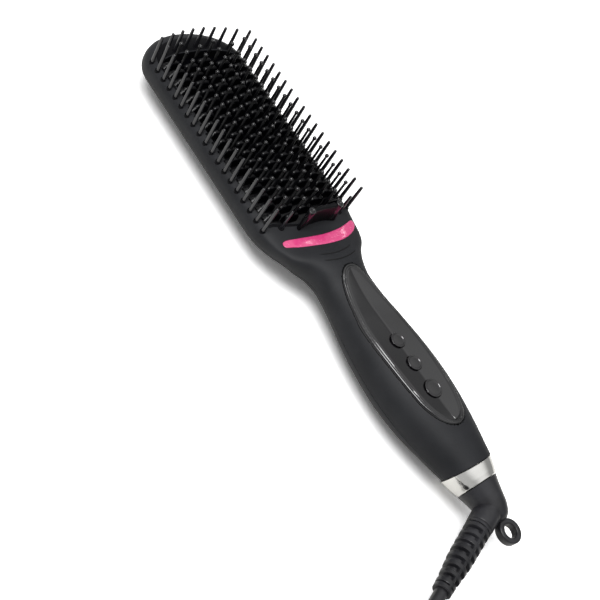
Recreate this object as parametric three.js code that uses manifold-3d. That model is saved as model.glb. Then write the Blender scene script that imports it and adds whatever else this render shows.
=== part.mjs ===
import * as THREE from 'three';
import { mergeVertices } from 'three/addons/utils/BufferGeometryUtils.js';
import Module from 'manifold-3d';

// Hair straightening brush, in millimetres. X runs across the head, +Y towards its free end and +Z
// along the bristles. Heights are counted from the plane of the outer bristles' feet and lengths
// from the middle of the bristle field; the last lines stand the brush on its back.

// Sizes that fit together
const gap = 0.3; // between pieces that touch
const wall = 2; // moulded shells
const restDepth = 25; // from the feet of the outer bristles down to the back
const flatCut = 0.5; // the flat that the rounded back rests on

// Outer body
const headHalf = 32.6;
const headTop = 3.4;
const headPast = 19.85; // from the last outer bristle to the free end
const headRound = 21; // length over which the free end closes
const neckLength = 40.85; // from the first outer bristle to the waist
const neckHalf = 16;
const neckTop = 5;
const gripLength = 105.9;
const gripHalf = 22.4;
const gripTop = 8;
const gripMiddle = -8.6;
const endHalf = 14.2;
const endHeight = 12.9;
const handleAxis = -6.9; // height of the cord swivel
const endSlant = -0.13; // the underside of the handle ends a little short
const slantRun = 24;
const parting = -8.5; // height where the two shells meet

// Bristle field
const fieldLength = 114.3; // between the first and the last outer bristle of a side
const outerCount = 19;
const outerInset = 2.95; // from the widest line of the head to the outer bristles
const outerTip = 16.8;
const outerRadius = 0.75;
const endPinCount = 7; // round the free end
const endPinReach = 21.6;
const endRowPast = 4.65;
const endRowSag = 2.8;
const innerRows = 18;
const innerMargin = 5.69; // from the last outer bristle to the first inner row
const innerFoot = 2.14;
const sideColumn = 0.807; // places of the inner columns across the plate
const midColumn = 0.4155;
const innerTip = 17.8;
const innerRadius = 0.62;
const ballRadius = 1.05;

// Heated plate and its ridges
const fieldInset = 3.25; // from the outer bristles to the opening of the shell
const fieldPast = 1.45;
const fieldFoot = 3.35;
const fieldCorner = 4;
const fieldSag = 6;
const plateTop = -1.8;
const plateThick = 1.5;
const plateLap = 0.8; // edge of the plate under the shell
const ridgeLength = 8.6;
const ridgeThick = 3.2;
const ridgeTop = 3.4;
const pinHole = 1; // half width of the square hole round an inner bristle

// Guard wall at the foot of the field
const guardDistance = 3.1;
const guardThick = 3;
const guardHalf = 12.5;
const guardTop = 14.2;
const guardDip = 3.4;
const guardSink = 1;

// Accent and control panel
const accentDeep = 1;
const accentProud = 0.25;
const inlay = 3.4;
const panelUp = 7; // the panel starts above the waist
const panelPast = 17.9; // and ends short of the ring
const panelHalf = 15;
const panelProud = 0.2;
const dishLow = 2.6; // height of the crease at the neck
const dishRise = 4.6; // along the whole panel
const dishSide = 3.4; // rise from the crease to the side
const dishInset = 3;
const buttons = [
  { name: 'upper', up: 49.2, radius: 4 },
  { name: 'middle', up: 35.5, radius: 4 },
  { name: 'lower', up: 20.4, radius: 4.75 },
];
const buttonProud = 0.5;
const buttonTravel = 0.6;
const buttonCap = 1; // thickness below the panel's crease
const crownHeight = 0.4;
const stemRadius = 1.6;

// Inside the head
const heaterX = 5.5;
const heaterWidth = 6.4;
const heaterThick = 2;
const heaterLength = 108;
const heaterMargin = 2;
const sheetThick = 1.5;
const sheetInset = 1.8;
const sheetEdge = 2.5;
const frameThick = 1.6;
const frameWidth = 1.95;
const shieldThick = 1;
const shieldDrop = 2.2;
const sensorX = 16.1;
const sensorRadius = 0.95;
const sensorLength = 12;

// Inside the handle
const boardThick = 1.6;
const boardHalf = 9;
const boardTop = -2.6;
const boardEnds = [13, 8]; // from the panel's ends
const powerTop = -12.8;
const powerHalf = 11;
const powerEnds = [11, 4];
const postInset = 4;
const switchSize = 6;
const switchHeight = 2.4;
const capacitorRadius = 4;
const capacitorHeight = 7.2;
const leadRadius = 0.9;
const leadX = 7;

// Screws
const screwRadius = 1.3;
const screwHead = 2.3;
const screwHeadHeight = 1.7;
const screwBoss = 3.4;
const screwSeat = 6; // from the parting plane down to the head's seat
const screwBite = 6.5; // and up into the front shell
const endScrewX = 9;
const endScrewInset = 8.5;
const neckScrewUp = 15;
const gripScrewPast = 3;

// Ring, swivel and cord
const ringLength = 9.2;
const ringEndRadius = 11;
const ringEdge = 0.5;
const lipRadius = 7.4;
const lipLength = 3.6;
const ringBore = 9.2;
const journalGap = 0.35;
const flangeThick = 2.4;
const blockLength = 9;
const blockBore = 2;
const contactRadius = 1.6;
const contactLength = 9.7;
const contactSeat = 4;
const capRadius = 10.7;
const capTip = 7.4;
const capLength = 20;
const bendBack = 11.6; // from the cap's face to where the barrel's axis leaves
const bendAngle = 73;
const barrelRadius = 6.7;
const barrelLength = 14.6;
const loopRadius = 6.1;
const loopHole = 3.4;
const loopThick = 4.6;
const loopBevel = 0.6;
const loopReach = 25.2; // from the cap's face to the loop's centre
const loopNeck = 2.6;
const sleeveRadius = 6.2;
const sleeveTip = 4.3;
const sleeveLength = 40;
const ribCount = 10;
const ribDepth = 1;
const socketDepth = 6;
const socketRadius = 4.6;
const cordRadius = 3;
const coilRadius = 47.5;
const coilTurns = 7.32;
const turnPitch = 6.5;
const coilAngle = 165;
const plugLength = 34;
const plugRadius = 10;
const plugReach = 16; // from the coil's end to the plug
const bladeLength = 18;
const bladeGap = 12.7;
const bladeThick = 1.5;
const lineBladeWidth = 6.3;
const neutralBladeWidth = 7.9;

// Lengths that follow
const foot = -fieldLength / 2;
const headEnd = -foot + headPast;
const neckY = foot - neckLength;
const handleEnd = neckY - gripLength;
const panelTopY = neckY + panelUp;
const panelBottomY = handleEnd + panelPast;
const panelLength = panelTopY - panelBottomY;
const buttonY = (spec) => panelBottomY + spec.up;
const capFace = handleEnd - gap - ringLength;
const fieldTop = -foot + fieldPast;
const fieldBottom = foot - fieldFoot;
const guardY = fieldBottom - guardDistance;
const endRowY = -foot + endRowPast;
const innerFirstY = -foot - innerMargin;
const innerPitch = (innerFirstY - foot - innerFoot) / (innerRows - 0.5);

// Widths that follow
const outerX = headHalf - outerInset;
const fieldHalf = outerX - fieldInset;
const plateHalf = fieldHalf + plateLap;
const sheetHalf = fieldHalf - sheetInset;
const sideColumnX = fieldHalf * sideColumn;
const columnX = fieldHalf * midColumn;

// Heights that follow
const base = -restDepth - flatCut;
const heaterTop = plateTop - plateThick - gap;
const sheetTop = heaterTop - heaterThick - gap;
const shieldTop = sheetTop - sheetThick - shieldDrop;
const shieldLow = shieldTop - shieldThick;
const frameTop = parting + gap + frameThick;
const switchTop = boardTop + switchHeight;
const screwSeatZ = parting - screwSeat;
const lid = wall + inlay + 0.2; // roof of the handle under the panel

const wasm = await Module();
wasm.setup();

// Solids from geometries and back
function solid(geometry) {
  const bare = geometry.clone();
  bare.deleteAttribute('normal');
  bare.deleteAttribute('uv');
  const merged = mergeVertices(bare, 1e-4);
  return new wasm.Manifold(new wasm.Mesh({
    numProp: 3,
    vertProperties: new Float32Array(merged.attributes.position.array),
    triVerts: new Uint32Array(merged.index.array),
  }));
}

function geometryOf(body) {
  const mesh = body.getMesh();
  const geometry = new THREE.BufferGeometry();
  geometry.setAttribute('position', new THREE.BufferAttribute(new Float32Array(mesh.vertProperties), 3));
  geometry.setIndex(new THREE.BufferAttribute(new Uint32Array(mesh.triVerts), 1));
  geometry.computeVertexNormals();
  return geometry;
}

function join(list) {
  return list.reduce((whole, next) => whole.add(next));
}

// A box from its low corner to its high corner
function block(x0, y0, z0, x1, y1, z1) {
  const box = new THREE.BoxGeometry(x1 - x0, y1 - y0, z1 - z0);
  return solid(box.translate((x0 + x1) / 2, (y0 + y1) / 2, (z0 + z1) / 2));
}

// An upright prism over a flat outline, and an upright post
function prism(shape, low, high, curveSegments = 12) {
  const options = { depth: high - low, bevelEnabled: false, curveSegments };
  return solid(new THREE.ExtrudeGeometry(shape, options).translate(0, 0, low));
}

function post(x, y, low, high, radius, sides = 10) {
  const cylinder = new THREE.CylinderGeometry(radius, radius, high - low, sides);
  return solid(cylinder.rotateX(Math.PI / 2).translate(x, y, (low + high) / 2));
}

// A body turned about an axis that leaves (0, y, handleAxis) towards the cord end; the profile gives
// the distance along the axis and the radius
function turned(profile, y, sides = 20) {
  const points = profile.map(([along, radius]) => new THREE.Vector2(radius, along));
  const lathe = new THREE.LatheGeometry(points, sides);
  return solid(lathe.rotateX(Math.PI).translate(0, y, handleAxis));
}

// Closed skin over a list of rings with equal counts of points
function skin(rings) {
  const count = rings[0].length;
  const positions = rings.flat().flatMap((p) => [p.x, p.y, p.z]);
  const index = [];
  for (let i = 0; i + 1 < rings.length; i += 1) {
    for (let j = 0; j < count; j += 1) {
      const a = i * count + j;
      const b = i * count + ((j + 1) % count);
      index.push(a, b, a + count, b, b + count, a + count);
    }
  }
  const last = (rings.length - 1) * count;
  for (let j = 1; j + 1 < count; j += 1) {
    index.push(0, j + 1, j);
    index.push(last, last + j, last + j + 1);
  }
  const geometry = new THREE.BufferGeometry();
  geometry.setAttribute('position', new THREE.Float32BufferAttribute(positions, 3));
  geometry.setIndex(index);
  return geometry;
}

// Outer body: stations along the brush with half width, top, bottom and height of the widest line;
// those of the grip stand at shares of its length
const gripY = (share) => neckY - share * gripLength;
const stations = [
  { y: headEnd - headRound, half: headHalf, top: headTop - 0.2, bottom: base, middle: -7 },
  { y: foot + 37, half: headHalf, top: headTop, bottom: base, middle: -7 },
  { y: foot + 9, half: headHalf + 0.2, top: headTop - 0.2, bottom: base, middle: -7 },
  { y: foot - 0.9, half: headHalf - 0.4, top: headTop - 1, bottom: base + 1.1, middle: -6.2 },
  { y: foot - 9, half: headHalf - 2.4, top: headTop - 1.8, bottom: base + 2.7, middle: -4.6 },
  { y: foot - 16, half: headHalf - 5, top: headTop - 1, bottom: base + 4.5, middle: -2.6 },
  { y: neckY + 19, half: neckHalf + 8.6, top: neckTop - 1.2, bottom: base + 5.3, middle: -2.4 },
  { y: neckY + 13, half: neckHalf + 3.4, top: neckTop + 0.4, bottom: base + 5.1, middle: -3.4 },
  { y: neckY + 7, half: neckHalf + 0.5, top: neckTop + 0.8, bottom: base + 4.6, middle: -4.6 },
  { y: neckY, half: neckHalf, top: neckTop, bottom: base + 4.3, middle: -6 },
  { y: gripY(0.11), half: neckHalf + 1.2, top: neckTop, bottom: base + 3.3, middle: gripMiddle + 1.1 },
  { y: gripY(0.25), half: gripHalf - 2.8, top: gripTop - 1.8, bottom: base + 1.5, middle: gripMiddle },
  { y: gripY(0.42), half: gripHalf - 0.6, top: gripTop - 0.5, bottom: base, middle: gripMiddle },
  { y: gripY(0.57), half: gripHalf, top: gripTop, bottom: base, middle: gripMiddle },
  { y: gripY(0.72), half: gripHalf - 1.4, top: gripTop, bottom: base + 1.2, middle: gripMiddle + 0.4 },
  { y: gripY(0.86), half: gripHalf - 4.4, top: gripTop - 0.7, bottom: base + 3.5, middle: gripMiddle + 1.2 },
  { y: handleEnd, half: endHalf, top: handleAxis + endHeight, bottom: handleAxis - endHeight,
    middle: handleAxis },
];

// Catmull-Rom reading of one station value at any length
function valueAt(key, y) {
  const last = stations.length - 1;
  let i = 0;
  while (i < last - 1 && y < stations[i + 1].y) i += 1;
  const pick = (k) => stations[Math.min(last, Math.max(0, k))];
  const [before, from, to, after] = [pick(i - 1), pick(i), pick(i + 1), pick(i + 2)];
  const t = Math.min(1, Math.max(0, (from.y - y) / (from.y - to.y)));
  const slopeIn = ((to[key] - before[key]) / (before.y - to.y || 1)) * (from.y - to.y);
  const slopeOut = ((after[key] - from[key]) / (from.y - after.y || 1)) * (from.y - to.y);
  const t2 = t * t;
  const t3 = t2 * t;
  return (2 * t3 - 3 * t2 + 1) * from[key] + (t3 - 2 * t2 + t) * slopeIn
    + (3 * t2 - 2 * t3) * to[key] + (t3 - t2) * slopeOut;
}

// How far the rounded free end has closed at a length, from 1 down to a blunt tip
const bluntShare = 0.998;
function closing(y) {
  const u = Math.min(bluntShare, Math.max(0, (y - headEnd + headRound) / headRound));
  return Math.sqrt(1 - u * u);
}

function slantAt(y, z) {
  const t = Math.min(1, Math.max(0, (handleEnd + slantRun - y) / slantRun));
  return endSlant * t * t * (z - handleAxis);
}

// One cross-section, moved inwards by inset and by roof at its top; it is squarer above on the head
function section(y, inset, roof, sides) {
  const close = closing(y);
  const onHead = Math.min(1, Math.max(0, (y - neckY) / 32));
  const upper = 2.1 + 1.1 * onHead;
  const half = valueAt('half', y) * close - inset;
  const middle = valueAt('middle', y);
  const top = middle + (valueAt('top', y) - middle) * (0.35 + 0.65 * close) - roof;
  const bottom = middle + (valueAt('bottom', y) - middle) * (0.3 + 0.7 * close) + inset;
  const ring = [];
  for (let j = 0; j < sides; j += 1) {
    const angle = (2 * Math.PI * (j + 0.5)) / sides;
    const c = Math.cos(angle);
    const s = Math.sin(angle);
    const power = 2 / (s > 0 ? upper : 2.1);
    const x = half * Math.sign(c) * Math.abs(c) ** power;
    const z = middle + (s > 0 ? top - middle : middle - bottom) * Math.sign(s) * Math.abs(s) ** power;
    ring.push(new THREE.Vector3(x, y + slantAt(y, z), z));
  }
  return ring;
}

// The outer form moved inwards by inset
function bodyForm(inset = 0) {
  const lengths = [0, 0.08, 0.22, 0.42, 0.68].map((share) => headEnd - inset - share * headRound);
  for (let y = headEnd - headRound; y > foot + 7; y -= 40) lengths.push(y);
  for (let y = foot + 7; y > neckY - 2; y -= 7) lengths.push(y);
  for (let y = neckY - 3; y > handleEnd + 6; y -= 12) lengths.push(y);
  lengths.push(handleEnd);
  return solid(skin(lengths.map((y) => section(y, inset, inset, 20))));
}

// The hollow inside the walls: coarser, open at the handle's end, with the lid over its grip
function hollowForm(inset) {
  const lengths = [0.03, 0.2, 0.5, 0.8].map((share) => headEnd - inset - share * headRound);
  for (let y = headEnd - headRound; y > foot + 7; y -= 50) lengths.push(y);
  for (let y = foot + 7; y > neckY + 10; y -= 10) lengths.push(y);
  for (let y = neckY + 9; y > handleEnd + 6; y -= 20) lengths.push(y);
  lengths.push(panelBottomY - 2, panelBottomY - 3, handleEnd - 6);
  lengths.sort((a, b) => b - a);
  const roofAt = (y) => (y < neckY + 10 && y > panelBottomY - 2.5 ? inset - wall + lid : inset);
  return solid(skin(lengths.map((y) => section(y, inset, roofAt(y), 16))));
}

const far = 400;
const outerForm = bodyForm();
const cavity = hollowForm(wall);
const above = block(-far, -far, parting + gap / 2, far, far, far);
const below = block(-far, -far, -restDepth, far, far, parting - gap / 2);

// Outline helpers
function roundedField(half, low, high, corner = fieldCorner, sag = fieldSag) {
  const shape = new THREE.Shape();
  shape.moveTo(-half, low + corner);
  shape.quadraticCurveTo(-half, low, -half + corner, low);
  shape.lineTo(half - corner, low);
  shape.quadraticCurveTo(half, low, half, low + corner);
  shape.lineTo(half, high - sag);
  shape.quadraticCurveTo(half - 1, high, 0, high);
  shape.quadraticCurveTo(1 - half, high, -half, high - sag);
  return shape;
}

// Tapering oval of the control panel, drawn in by inset
function panelOutline(inset) {
  const top = panelTopY - inset;
  const low = panelBottomY + inset;
  const half = panelHalf - inset;
  const shape = new THREE.Shape();
  shape.moveTo(0, top);
  shape.bezierCurveTo(half * 0.62, top, half * 0.72, top - 17, half * 0.93, top - 31);
  shape.bezierCurveTo(half * 1.04, top - 44, half, low + 32, half * 0.86, low + 17);
  shape.bezierCurveTo(half * 0.72, low + 6, half * 0.4, low, 0, low);
  shape.bezierCurveTo(-half * 0.4, low, -half * 0.72, low + 6, -half * 0.86, low + 17);
  shape.bezierCurveTo(-half, low + 32, -half * 1.04, top - 44, -half * 0.93, top - 31);
  shape.bezierCurveTo(-half * 0.72, top - 17, -half * 0.62, top, 0, top);
  return shape;
}

// Swoosh across the neck: thin and pointed on one side, broad and round on the other
function accentOutline(grow) {
  const shape = new THREE.Shape();
  const line = foot - 10.5;
  shape.moveTo(-24.5 - grow, line + grow);
  shape.quadraticCurveTo(-6, line - 0.6 + grow, 4, line + 1 + grow);
  shape.quadraticCurveTo(15, line + 3.2 + grow, 21.5, line + 6.8 + grow);
  shape.quadraticCurveTo(27 + grow, line + 7.6 + grow, 26.4 + grow, line + 2.6);
  shape.quadraticCurveTo(22, line - 2.9 - grow, 12, line - 4.8 - grow);
  shape.quadraticCurveTo(-4, line - 6.8 - grow, -24.5 - grow, line - grow);
  return shape;
}

// Places of the bristles
const outerPins = [];
for (let k = 0; k < outerCount; k += 1) {
  const y = -foot - (k * fieldLength) / (outerCount - 1);
  outerPins.push([-outerX, y], [outerX, y]);
}
for (let k = 0; k < endPinCount; k += 1) {
  const share = (2 * k) / (endPinCount - 1) - 1;
  outerPins.push([share * endPinReach, endRowY - endRowSag * share * share]);
}
const innerPins = [];
for (let k = 0; k < innerRows; k += 1) {
  const y = innerFirstY - k * innerPitch;
  innerPins.push([-sideColumnX, y], [0, y], [sideColumnX, y]);
  innerPins.push([-columnX, y - innerPitch / 2], [columnX, y - innerPitch / 2]);
}

// A slim bristle, with a ball at its tip when ball is positive
function bristle(x, y, low, high, radius, ball, sides = 4) {
  const profile = ball > 0
    ? [[low, radius * 1.15], [high - 2.4 * ball, radius * 0.8], [high - ball, ball], [high, ball * 0.5]]
    : [[low, radius], [high, radius * 0.6]];
  const rings = profile.map(([z, r]) => {
    const ring = [];
    for (let j = 0; j < sides; j += 1) {
      const angle = (2 * Math.PI * j) / sides + 0.3;
      ring.push(new THREE.Vector3(x + r * Math.cos(angle), y + r * Math.sin(angle), z));
    }
    return ring;
  });
  return solid(skin(rings));
}

// Heated plate: a slab with an arched ridge across each inner bristle, pierced for it
function heaterPlate() {
  const low = plateTop - plateThick;
  const outline = roundedField(plateHalf, fieldBottom - plateLap, fieldTop + plateLap);
  const slab = prism(outline, low, plateTop, 4);
  const arch = new THREE.Shape();
  const root = 0.5;
  const crown = 3;
  arch.moveTo(-ridgeLength / 2, -root);
  arch.lineTo(ridgeLength / 2, -root);
  for (let i = 0; i <= crown; i += 1) {
    const angle = (Math.PI * i) / crown;
    arch.lineTo((ridgeLength / 2) * Math.cos(angle), (ridgeTop - plateTop) * Math.sin(angle) ** 0.8);
  }
  const ridges = [];
  const holes = [];
  for (const [x, y] of innerPins) {
    const ridge = new THREE.ExtrudeGeometry(arch, { depth: ridgeThick, bevelEnabled: false });
    ridges.push(solid(ridge.rotateX(Math.PI / 2).translate(x, y + ridgeThick / 2, plateTop)));
    holes.push(block(x - pinHole, y - pinHole, low - 1, x + pinHole, y + pinHole, ridgeTop + 1));
  }
  return slab.add(join(ridges)).subtract(join(holes));
}

// Sheet that carries the inner bristles and passes them up through the plate
const sheetHighY = innerFirstY + sheetEdge;
const sheetLowY = innerFirstY - (innerRows - 0.5) * innerPitch - sheetEdge;
const rootDepth = 0.4; // of every bristle in what carries it

function bristleSheet() {
  const sheet = block(-sheetHalf, sheetLowY, sheetTop - sheetThick, sheetHalf, sheetHighY, sheetTop);
  const root = sheetTop - rootDepth;
  const pins = innerPins.map(([x, y]) => bristle(x, y, root, innerTip, innerRadius, ballRadius));
  return sheet.add(join(pins));
}

// Frame that carries the outer bristles under the rim
function bristleFrame() {
  const low = frameTop - frameThick;
  const edge = 0.65;
  const outside = roundedField(outerX + edge, foot - 1.6, endRowY + 1.4, 3, 5);
  const inside = roundedField(outerX + edge - frameWidth, foot - 0.8, endRowY - 2.6, 3, 5);
  const pins = outerPins.map(([x, y]) => bristle(x, y, frameTop - rootDepth, outerTip, outerRadius, 0));
  return prism(outside, low, frameTop, 5)
    .subtract(prism(inside, low - 1, frameTop + 1, 5))
    .intersect(hollowForm(wall + gap))
    .add(join(pins));
}

const screwPlaces = [[-endScrewX, headEnd - endScrewInset], [endScrewX, headEnd - endScrewInset],
  [0, neckY + neckScrewUp], [0, panelBottomY - gripScrewPast]];
const boardHigh = panelTopY - boardEnds[0];
const boardLow = panelBottomY + boardEnds[1];
const powerHigh = panelTopY - powerEnds[0];
const powerLow = panelBottomY + powerEnds[1];

function frontShell() {
  const opening = prism(roundedField(fieldHalf, fieldBottom, fieldTop), parting - 1, far, 4);
  const lap = plateLap + gap;
  const plateSeat = prism(roundedField(fieldHalf + lap, fieldBottom - lap, fieldTop + lap),
    plateTop - plateThick - gap, plateTop + gap, 4);
  const seats = outerPins.map(([x, y]) => post(x, y, parting - 1, far, outerRadius + gap, 4));
  const panelSeat = prism(panelOutline(-gap), -far, far, 6).subtract(bodyForm(inlay + gap));
  const accentSeat = prism(accentOutline(gap), -2, far, 6).subtract(bodyForm(accentDeep + gap));
  const stems = buttons.map((spec) => post(0, buttonY(spec), parting, far, stemRadius + gap, 8));
  const bosses = screwPlaces.map(([x, y]) => post(x, y, parting + gap / 2, headTop, screwBoss, 8));
  const biteTop = parting + screwBite + gap;
  const threads = screwPlaces.map(([x, y]) => post(x, y, -far, biteTop, screwRadius + gap, 6));
  for (const y of [boardHigh - postInset, boardLow + postInset]) {
    for (const x of [-1, 1]) bosses.push(post(x * (boardHalf - 2), y, boardTop + gap, gripTop, 1.6, 6));
  }
  return outerForm.intersect(above)
    .subtract(cavity)
    .add(join(bosses).intersect(bodyForm(1)))
    .subtract(join([opening, plateSeat, panelSeat, accentSeat, guardSeat()]))
    .subtract(join([...seats, ...stems, ...threads]));
}

function rearShell() {
  const bosses = screwPlaces.map(([x, y]) => post(x, y, -restDepth, parting - gap / 2, screwBoss, 8));
  const wells = screwPlaces.map(([x, y]) => post(x, y, -far, screwSeatZ, screwHead + gap, 8));
  const holes = screwPlaces.map(([x, y]) => post(x, y, -far, far, screwRadius + gap, 6));
  for (const y of [-45, 45]) bosses.push(post(0, y, -restDepth, shieldLow - gap, 3, 8));
  for (const y of [powerHigh - postInset, powerLow + postInset]) {
    bosses.push(post(0, y, -restDepth, powerTop - boardThick - gap, 2.4, 8));
  }
  return outerForm.intersect(below)
    .subtract(cavity)
    .add(join(bosses).intersect(bodyForm(1)))
    .subtract(join([...wells, ...holes]));
}

function housingScrew([x, y]) {
  const low = screwSeatZ - gap - screwHeadHeight;
  const head = post(x, y, low, screwSeatZ - gap, screwHead, 8);
  const driverHole = post(x, y, low - 1, low + 0.8, 1, 4);
  return head.subtract(driverHole).add(post(x, y, screwSeatZ - 1, parting + screwBite, screwRadius, 6));
}

// Room for the guard in what it stands in
function guardSeat() {
  const half = guardThick / 2 + gap;
  return block(-guardHalf - gap, guardY - half, -guardSink - gap, guardHalf + gap, guardY + half, far);
}

// Guard: a wall with two rounded horns and a dip between them
function endGuard() {
  const shape = new THREE.Shape();
  const half = guardHalf;
  shape.moveTo(-half, -guardSink);
  shape.lineTo(half, -guardSink);
  shape.quadraticCurveTo(half - 0.4, guardTop * 0.6, half - 2.2, guardTop - 0.6);
  shape.quadraticCurveTo(half - 3.4, guardTop + 0.4, half - 5, guardTop - 0.8);
  shape.quadraticCurveTo(0, guardTop - 2.4 * guardDip, -half + 5, guardTop - 0.8);
  shape.quadraticCurveTo(-half + 3.4, guardTop + 0.4, -half + 2.2, guardTop - 0.6);
  shape.quadraticCurveTo(-half + 0.4, guardTop * 0.6, -half, -guardSink);
  const options = { depth: guardThick, bevelEnabled: false, curveSegments: 5 };
  const standing = new THREE.ExtrudeGeometry(shape, options).rotateX(Math.PI / 2);
  return solid(standing.translate(0, guardY + guardThick / 2, 0));
}

function accentTrim() {
  return prism(accentOutline(0), -2, far, 6)
    .intersect(bodyForm(-accentProud))
    .subtract(bodyForm(accentDeep).add(guardSeat()));
}

// Height of the crease along the middle of the panel
function creaseAt(y) {
  return dishLow + (dishRise * (panelTopY - y)) / panelLength;
}

// Panel: an oval inlay with a shallow leaf-shaped dish and three holes
function controlPanel() {
  const valley = new THREE.Shape();
  valley.moveTo(0, 0);
  valley.lineTo(panelHalf, dishSide);
  valley.lineTo(panelHalf, far);
  valley.lineTo(-panelHalf, far);
  valley.lineTo(-panelHalf, dishSide);
  const trough = new THREE.ExtrudeGeometry(valley, { depth: 2 * panelLength, bevelEnabled: false });
  trough.rotateX(Math.PI / 2 - Math.atan2(dishRise, panelLength));
  trough.translate(0, panelTopY + panelLength / 2, creaseAt(panelTopY + panelLength / 2));
  const dish = prism(panelOutline(dishInset), -far, far, 6).intersect(solid(trough));
  const holes = buttons.map((spec) => post(0, buttonY(spec), -far, far, spec.radius + gap, 12));
  return prism(panelOutline(0), -2, far, 6)
    .intersect(bodyForm(-panelProud))
    .subtract(bodyForm(inlay))
    .subtract(join([dish, ...holes]));
}

function button(spec) {
  const y = buttonY(spec);
  const face = creaseAt(y) + buttonProud;
  const low = creaseAt(y) - buttonCap + gap;
  const cap = post(0, y, low, face - crownHeight, spec.radius, 12);
  const crown = new THREE.CylinderGeometry(spec.radius - 0.7, spec.radius, crownHeight, 12);
  const crownPlace = crown.rotateX(Math.PI / 2).translate(0, y, face - crownHeight / 2);
  const stem = post(0, y, switchTop + gap, low + gap, stemRadius - gap, 8);
  return join([cap, solid(crownPlace), stem]);
}

// Tactile switch on the control board; its top gives way with the button
function tactileSwitch(spec) {
  const s = switchSize / 2;
  const y = buttonY(spec);
  return block(-s, y - s, boardTop + gap, s, y + s, switchTop - buttonTravel);
}

// Lead from a heater's end back to the power board
function lead(side) {
  const route = [[side * heaterX, heaterFoot - gap, heaterTop - heaterThick / 2],
    [side * heaterX, heaterFoot - 10, heaterTop - heaterThick / 2 - 3],
    [side * leadX, (heaterFoot + powerHigh) / 2 - 4, (heaterTop + powerTop) / 2 - 1.5],
    [side * leadX, powerHigh + 6, powerTop],
    [side * leadX, powerHigh + 2 * gap, powerTop - boardThick / 2]];
  const curve = new THREE.CatmullRomCurve3(route.map((p) => new THREE.Vector3(...p)));
  const ring = new THREE.Shape();
  ring.absarc(0, 0, leadRadius, 0, 2 * Math.PI);
  return solid(new THREE.ExtrudeGeometry(ring, { steps: 10, extrudePath: curve, curveSegments: 3 }));
}

// Ring at the end of the handle: it starts along the slanted end and comes round and square
function endRing() {
  const rings = [[0, 0], [0.34, 0.3], [0.7, 0.66], [0.95, 1], [1, 1]].map(([share, t], i) => {
    const y = handleEnd - gap - share * ringLength;
    const trim = i === 4 ? ringEdge : 0;
    const halfX = endHalf + (ringEndRadius - endHalf) * t - trim;
    const halfZ = endHeight + (ringEndRadius - endHeight) * t - trim;
    const ring = [];
    for (let j = 0; j < 24; j += 1) {
      const angle = (2 * Math.PI * j) / 24;
      const z = halfZ * Math.sin(angle);
      ring.push(new THREE.Vector3(halfX * Math.cos(angle), y + endSlant * (1 - share) * z, handleAxis + z));
    }
    return ring;
  });
  const bore = turned([[-4, 0], [-4, ringBore], [ringLength - lipLength, ringBore],
    [ringLength - lipLength, lipRadius], [ringLength + 4, lipRadius], [ringLength + 4, 0]], handleEnd - gap);
  return solid(skin(rings)).subtract(bore);
}

const bendY = capFace - bendBack;
const bend = THREE.MathUtils.degToRad(bendAngle);
const cordWay = new THREE.Vector3(-Math.sin(bend), -Math.cos(bend), 0);
const bendPoint = new THREE.Vector3(0, bendY, handleAxis);
const flangeTop = -(lipLength + journalGap + flangeThick); // measured from the cap's face

// A body turned about the way that the cord leaves the bend
function alongCord(profile, sides = 16) {
  const points = profile.map(([along, radius]) => new THREE.Vector2(radius, along));
  const lathe = new THREE.LatheGeometry(points, sides);
  const turn = new THREE.Quaternion().setFromUnitVectors(new THREE.Vector3(0, 1, 0), cordWay);
  return solid(lathe.applyQuaternion(turn).translate(bendPoint.x, bendPoint.y, bendPoint.z));
}

// Flat ring to hang the brush by, on a short neck from the elbow's tip
function hangLoop() {
  const centre = capFace - loopReach;
  const outline = new THREE.Shape();
  outline.absarc(0, centre, loopRadius - loopBevel, 0, 2 * Math.PI);
  const eye = new THREE.Path();
  eye.absarc(0, centre, loopHole + loopBevel, 0, 2 * Math.PI, true);
  outline.holes.push(eye);
  const depth = loopThick - 2 * loopBevel;
  const ring = new THREE.ExtrudeGeometry(outline,
    { depth, bevelSize: loopBevel, bevelThickness: loopBevel, bevelSegments: 1, curveSegments: 8 });
  const low = handleAxis - depth / 2;
  const neck = block(-loopNeck, centre + loopHole + loopBevel, low,
    loopNeck, capFace - capLength + 3, low + depth);
  return solid(ring.translate(0, 0, low)).add(neck);
}

// Elbow that turns in the ring: flange and journal, cap, side barrel for the cord, and hang loop
function swivelElbow() {
  const journal = lipRadius - journalGap;
  const flange = ringBore - journalGap;
  const cap = turned([[flangeTop, 0], [flangeTop, flange], [flangeTop + flangeThick, flange],
    [flangeTop + flangeThick, journal], [gap, journal], [gap, capRadius], [4, capRadius - 1.1],
    [capLength - 6, capTip], [capLength - 2, capTip - 2], [capLength, capTip - 4.6], [capLength, 0]],
  capFace);
  const barrel = alongCord([[-2, 0], [-2, barrelRadius - 1.4], [1, barrelRadius],
    [barrelLength, barrelRadius - 0.4], [barrelLength, 0]]);
  const socket = alongCord([[barrelLength - socketDepth, 0], [barrelLength - socketDepth, socketRadius],
    [far, socketRadius], [far, 0]], 10);
  const pinSeat = turned([[flangeTop - 1, 0], [flangeTop - 1, contactRadius + gap],
    [flangeTop + contactSeat, contactRadius + gap], [flangeTop + contactSeat, 0]], capFace, 8);
  return join([cap, barrel, hangLoop()]).subtract(socket.add(pinSeat));
}

// Contact pin on the elbow's axis, and the block in the ring that it turns in
function contactPin() {
  const end = flangeTop + contactSeat - gap;
  return turned([[end - contactLength, 0], [end - contactLength, contactRadius - 0.4],
    [end - contactLength + 1, contactRadius], [end, contactRadius], [end, 0]], capFace, 8);
}

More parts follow.
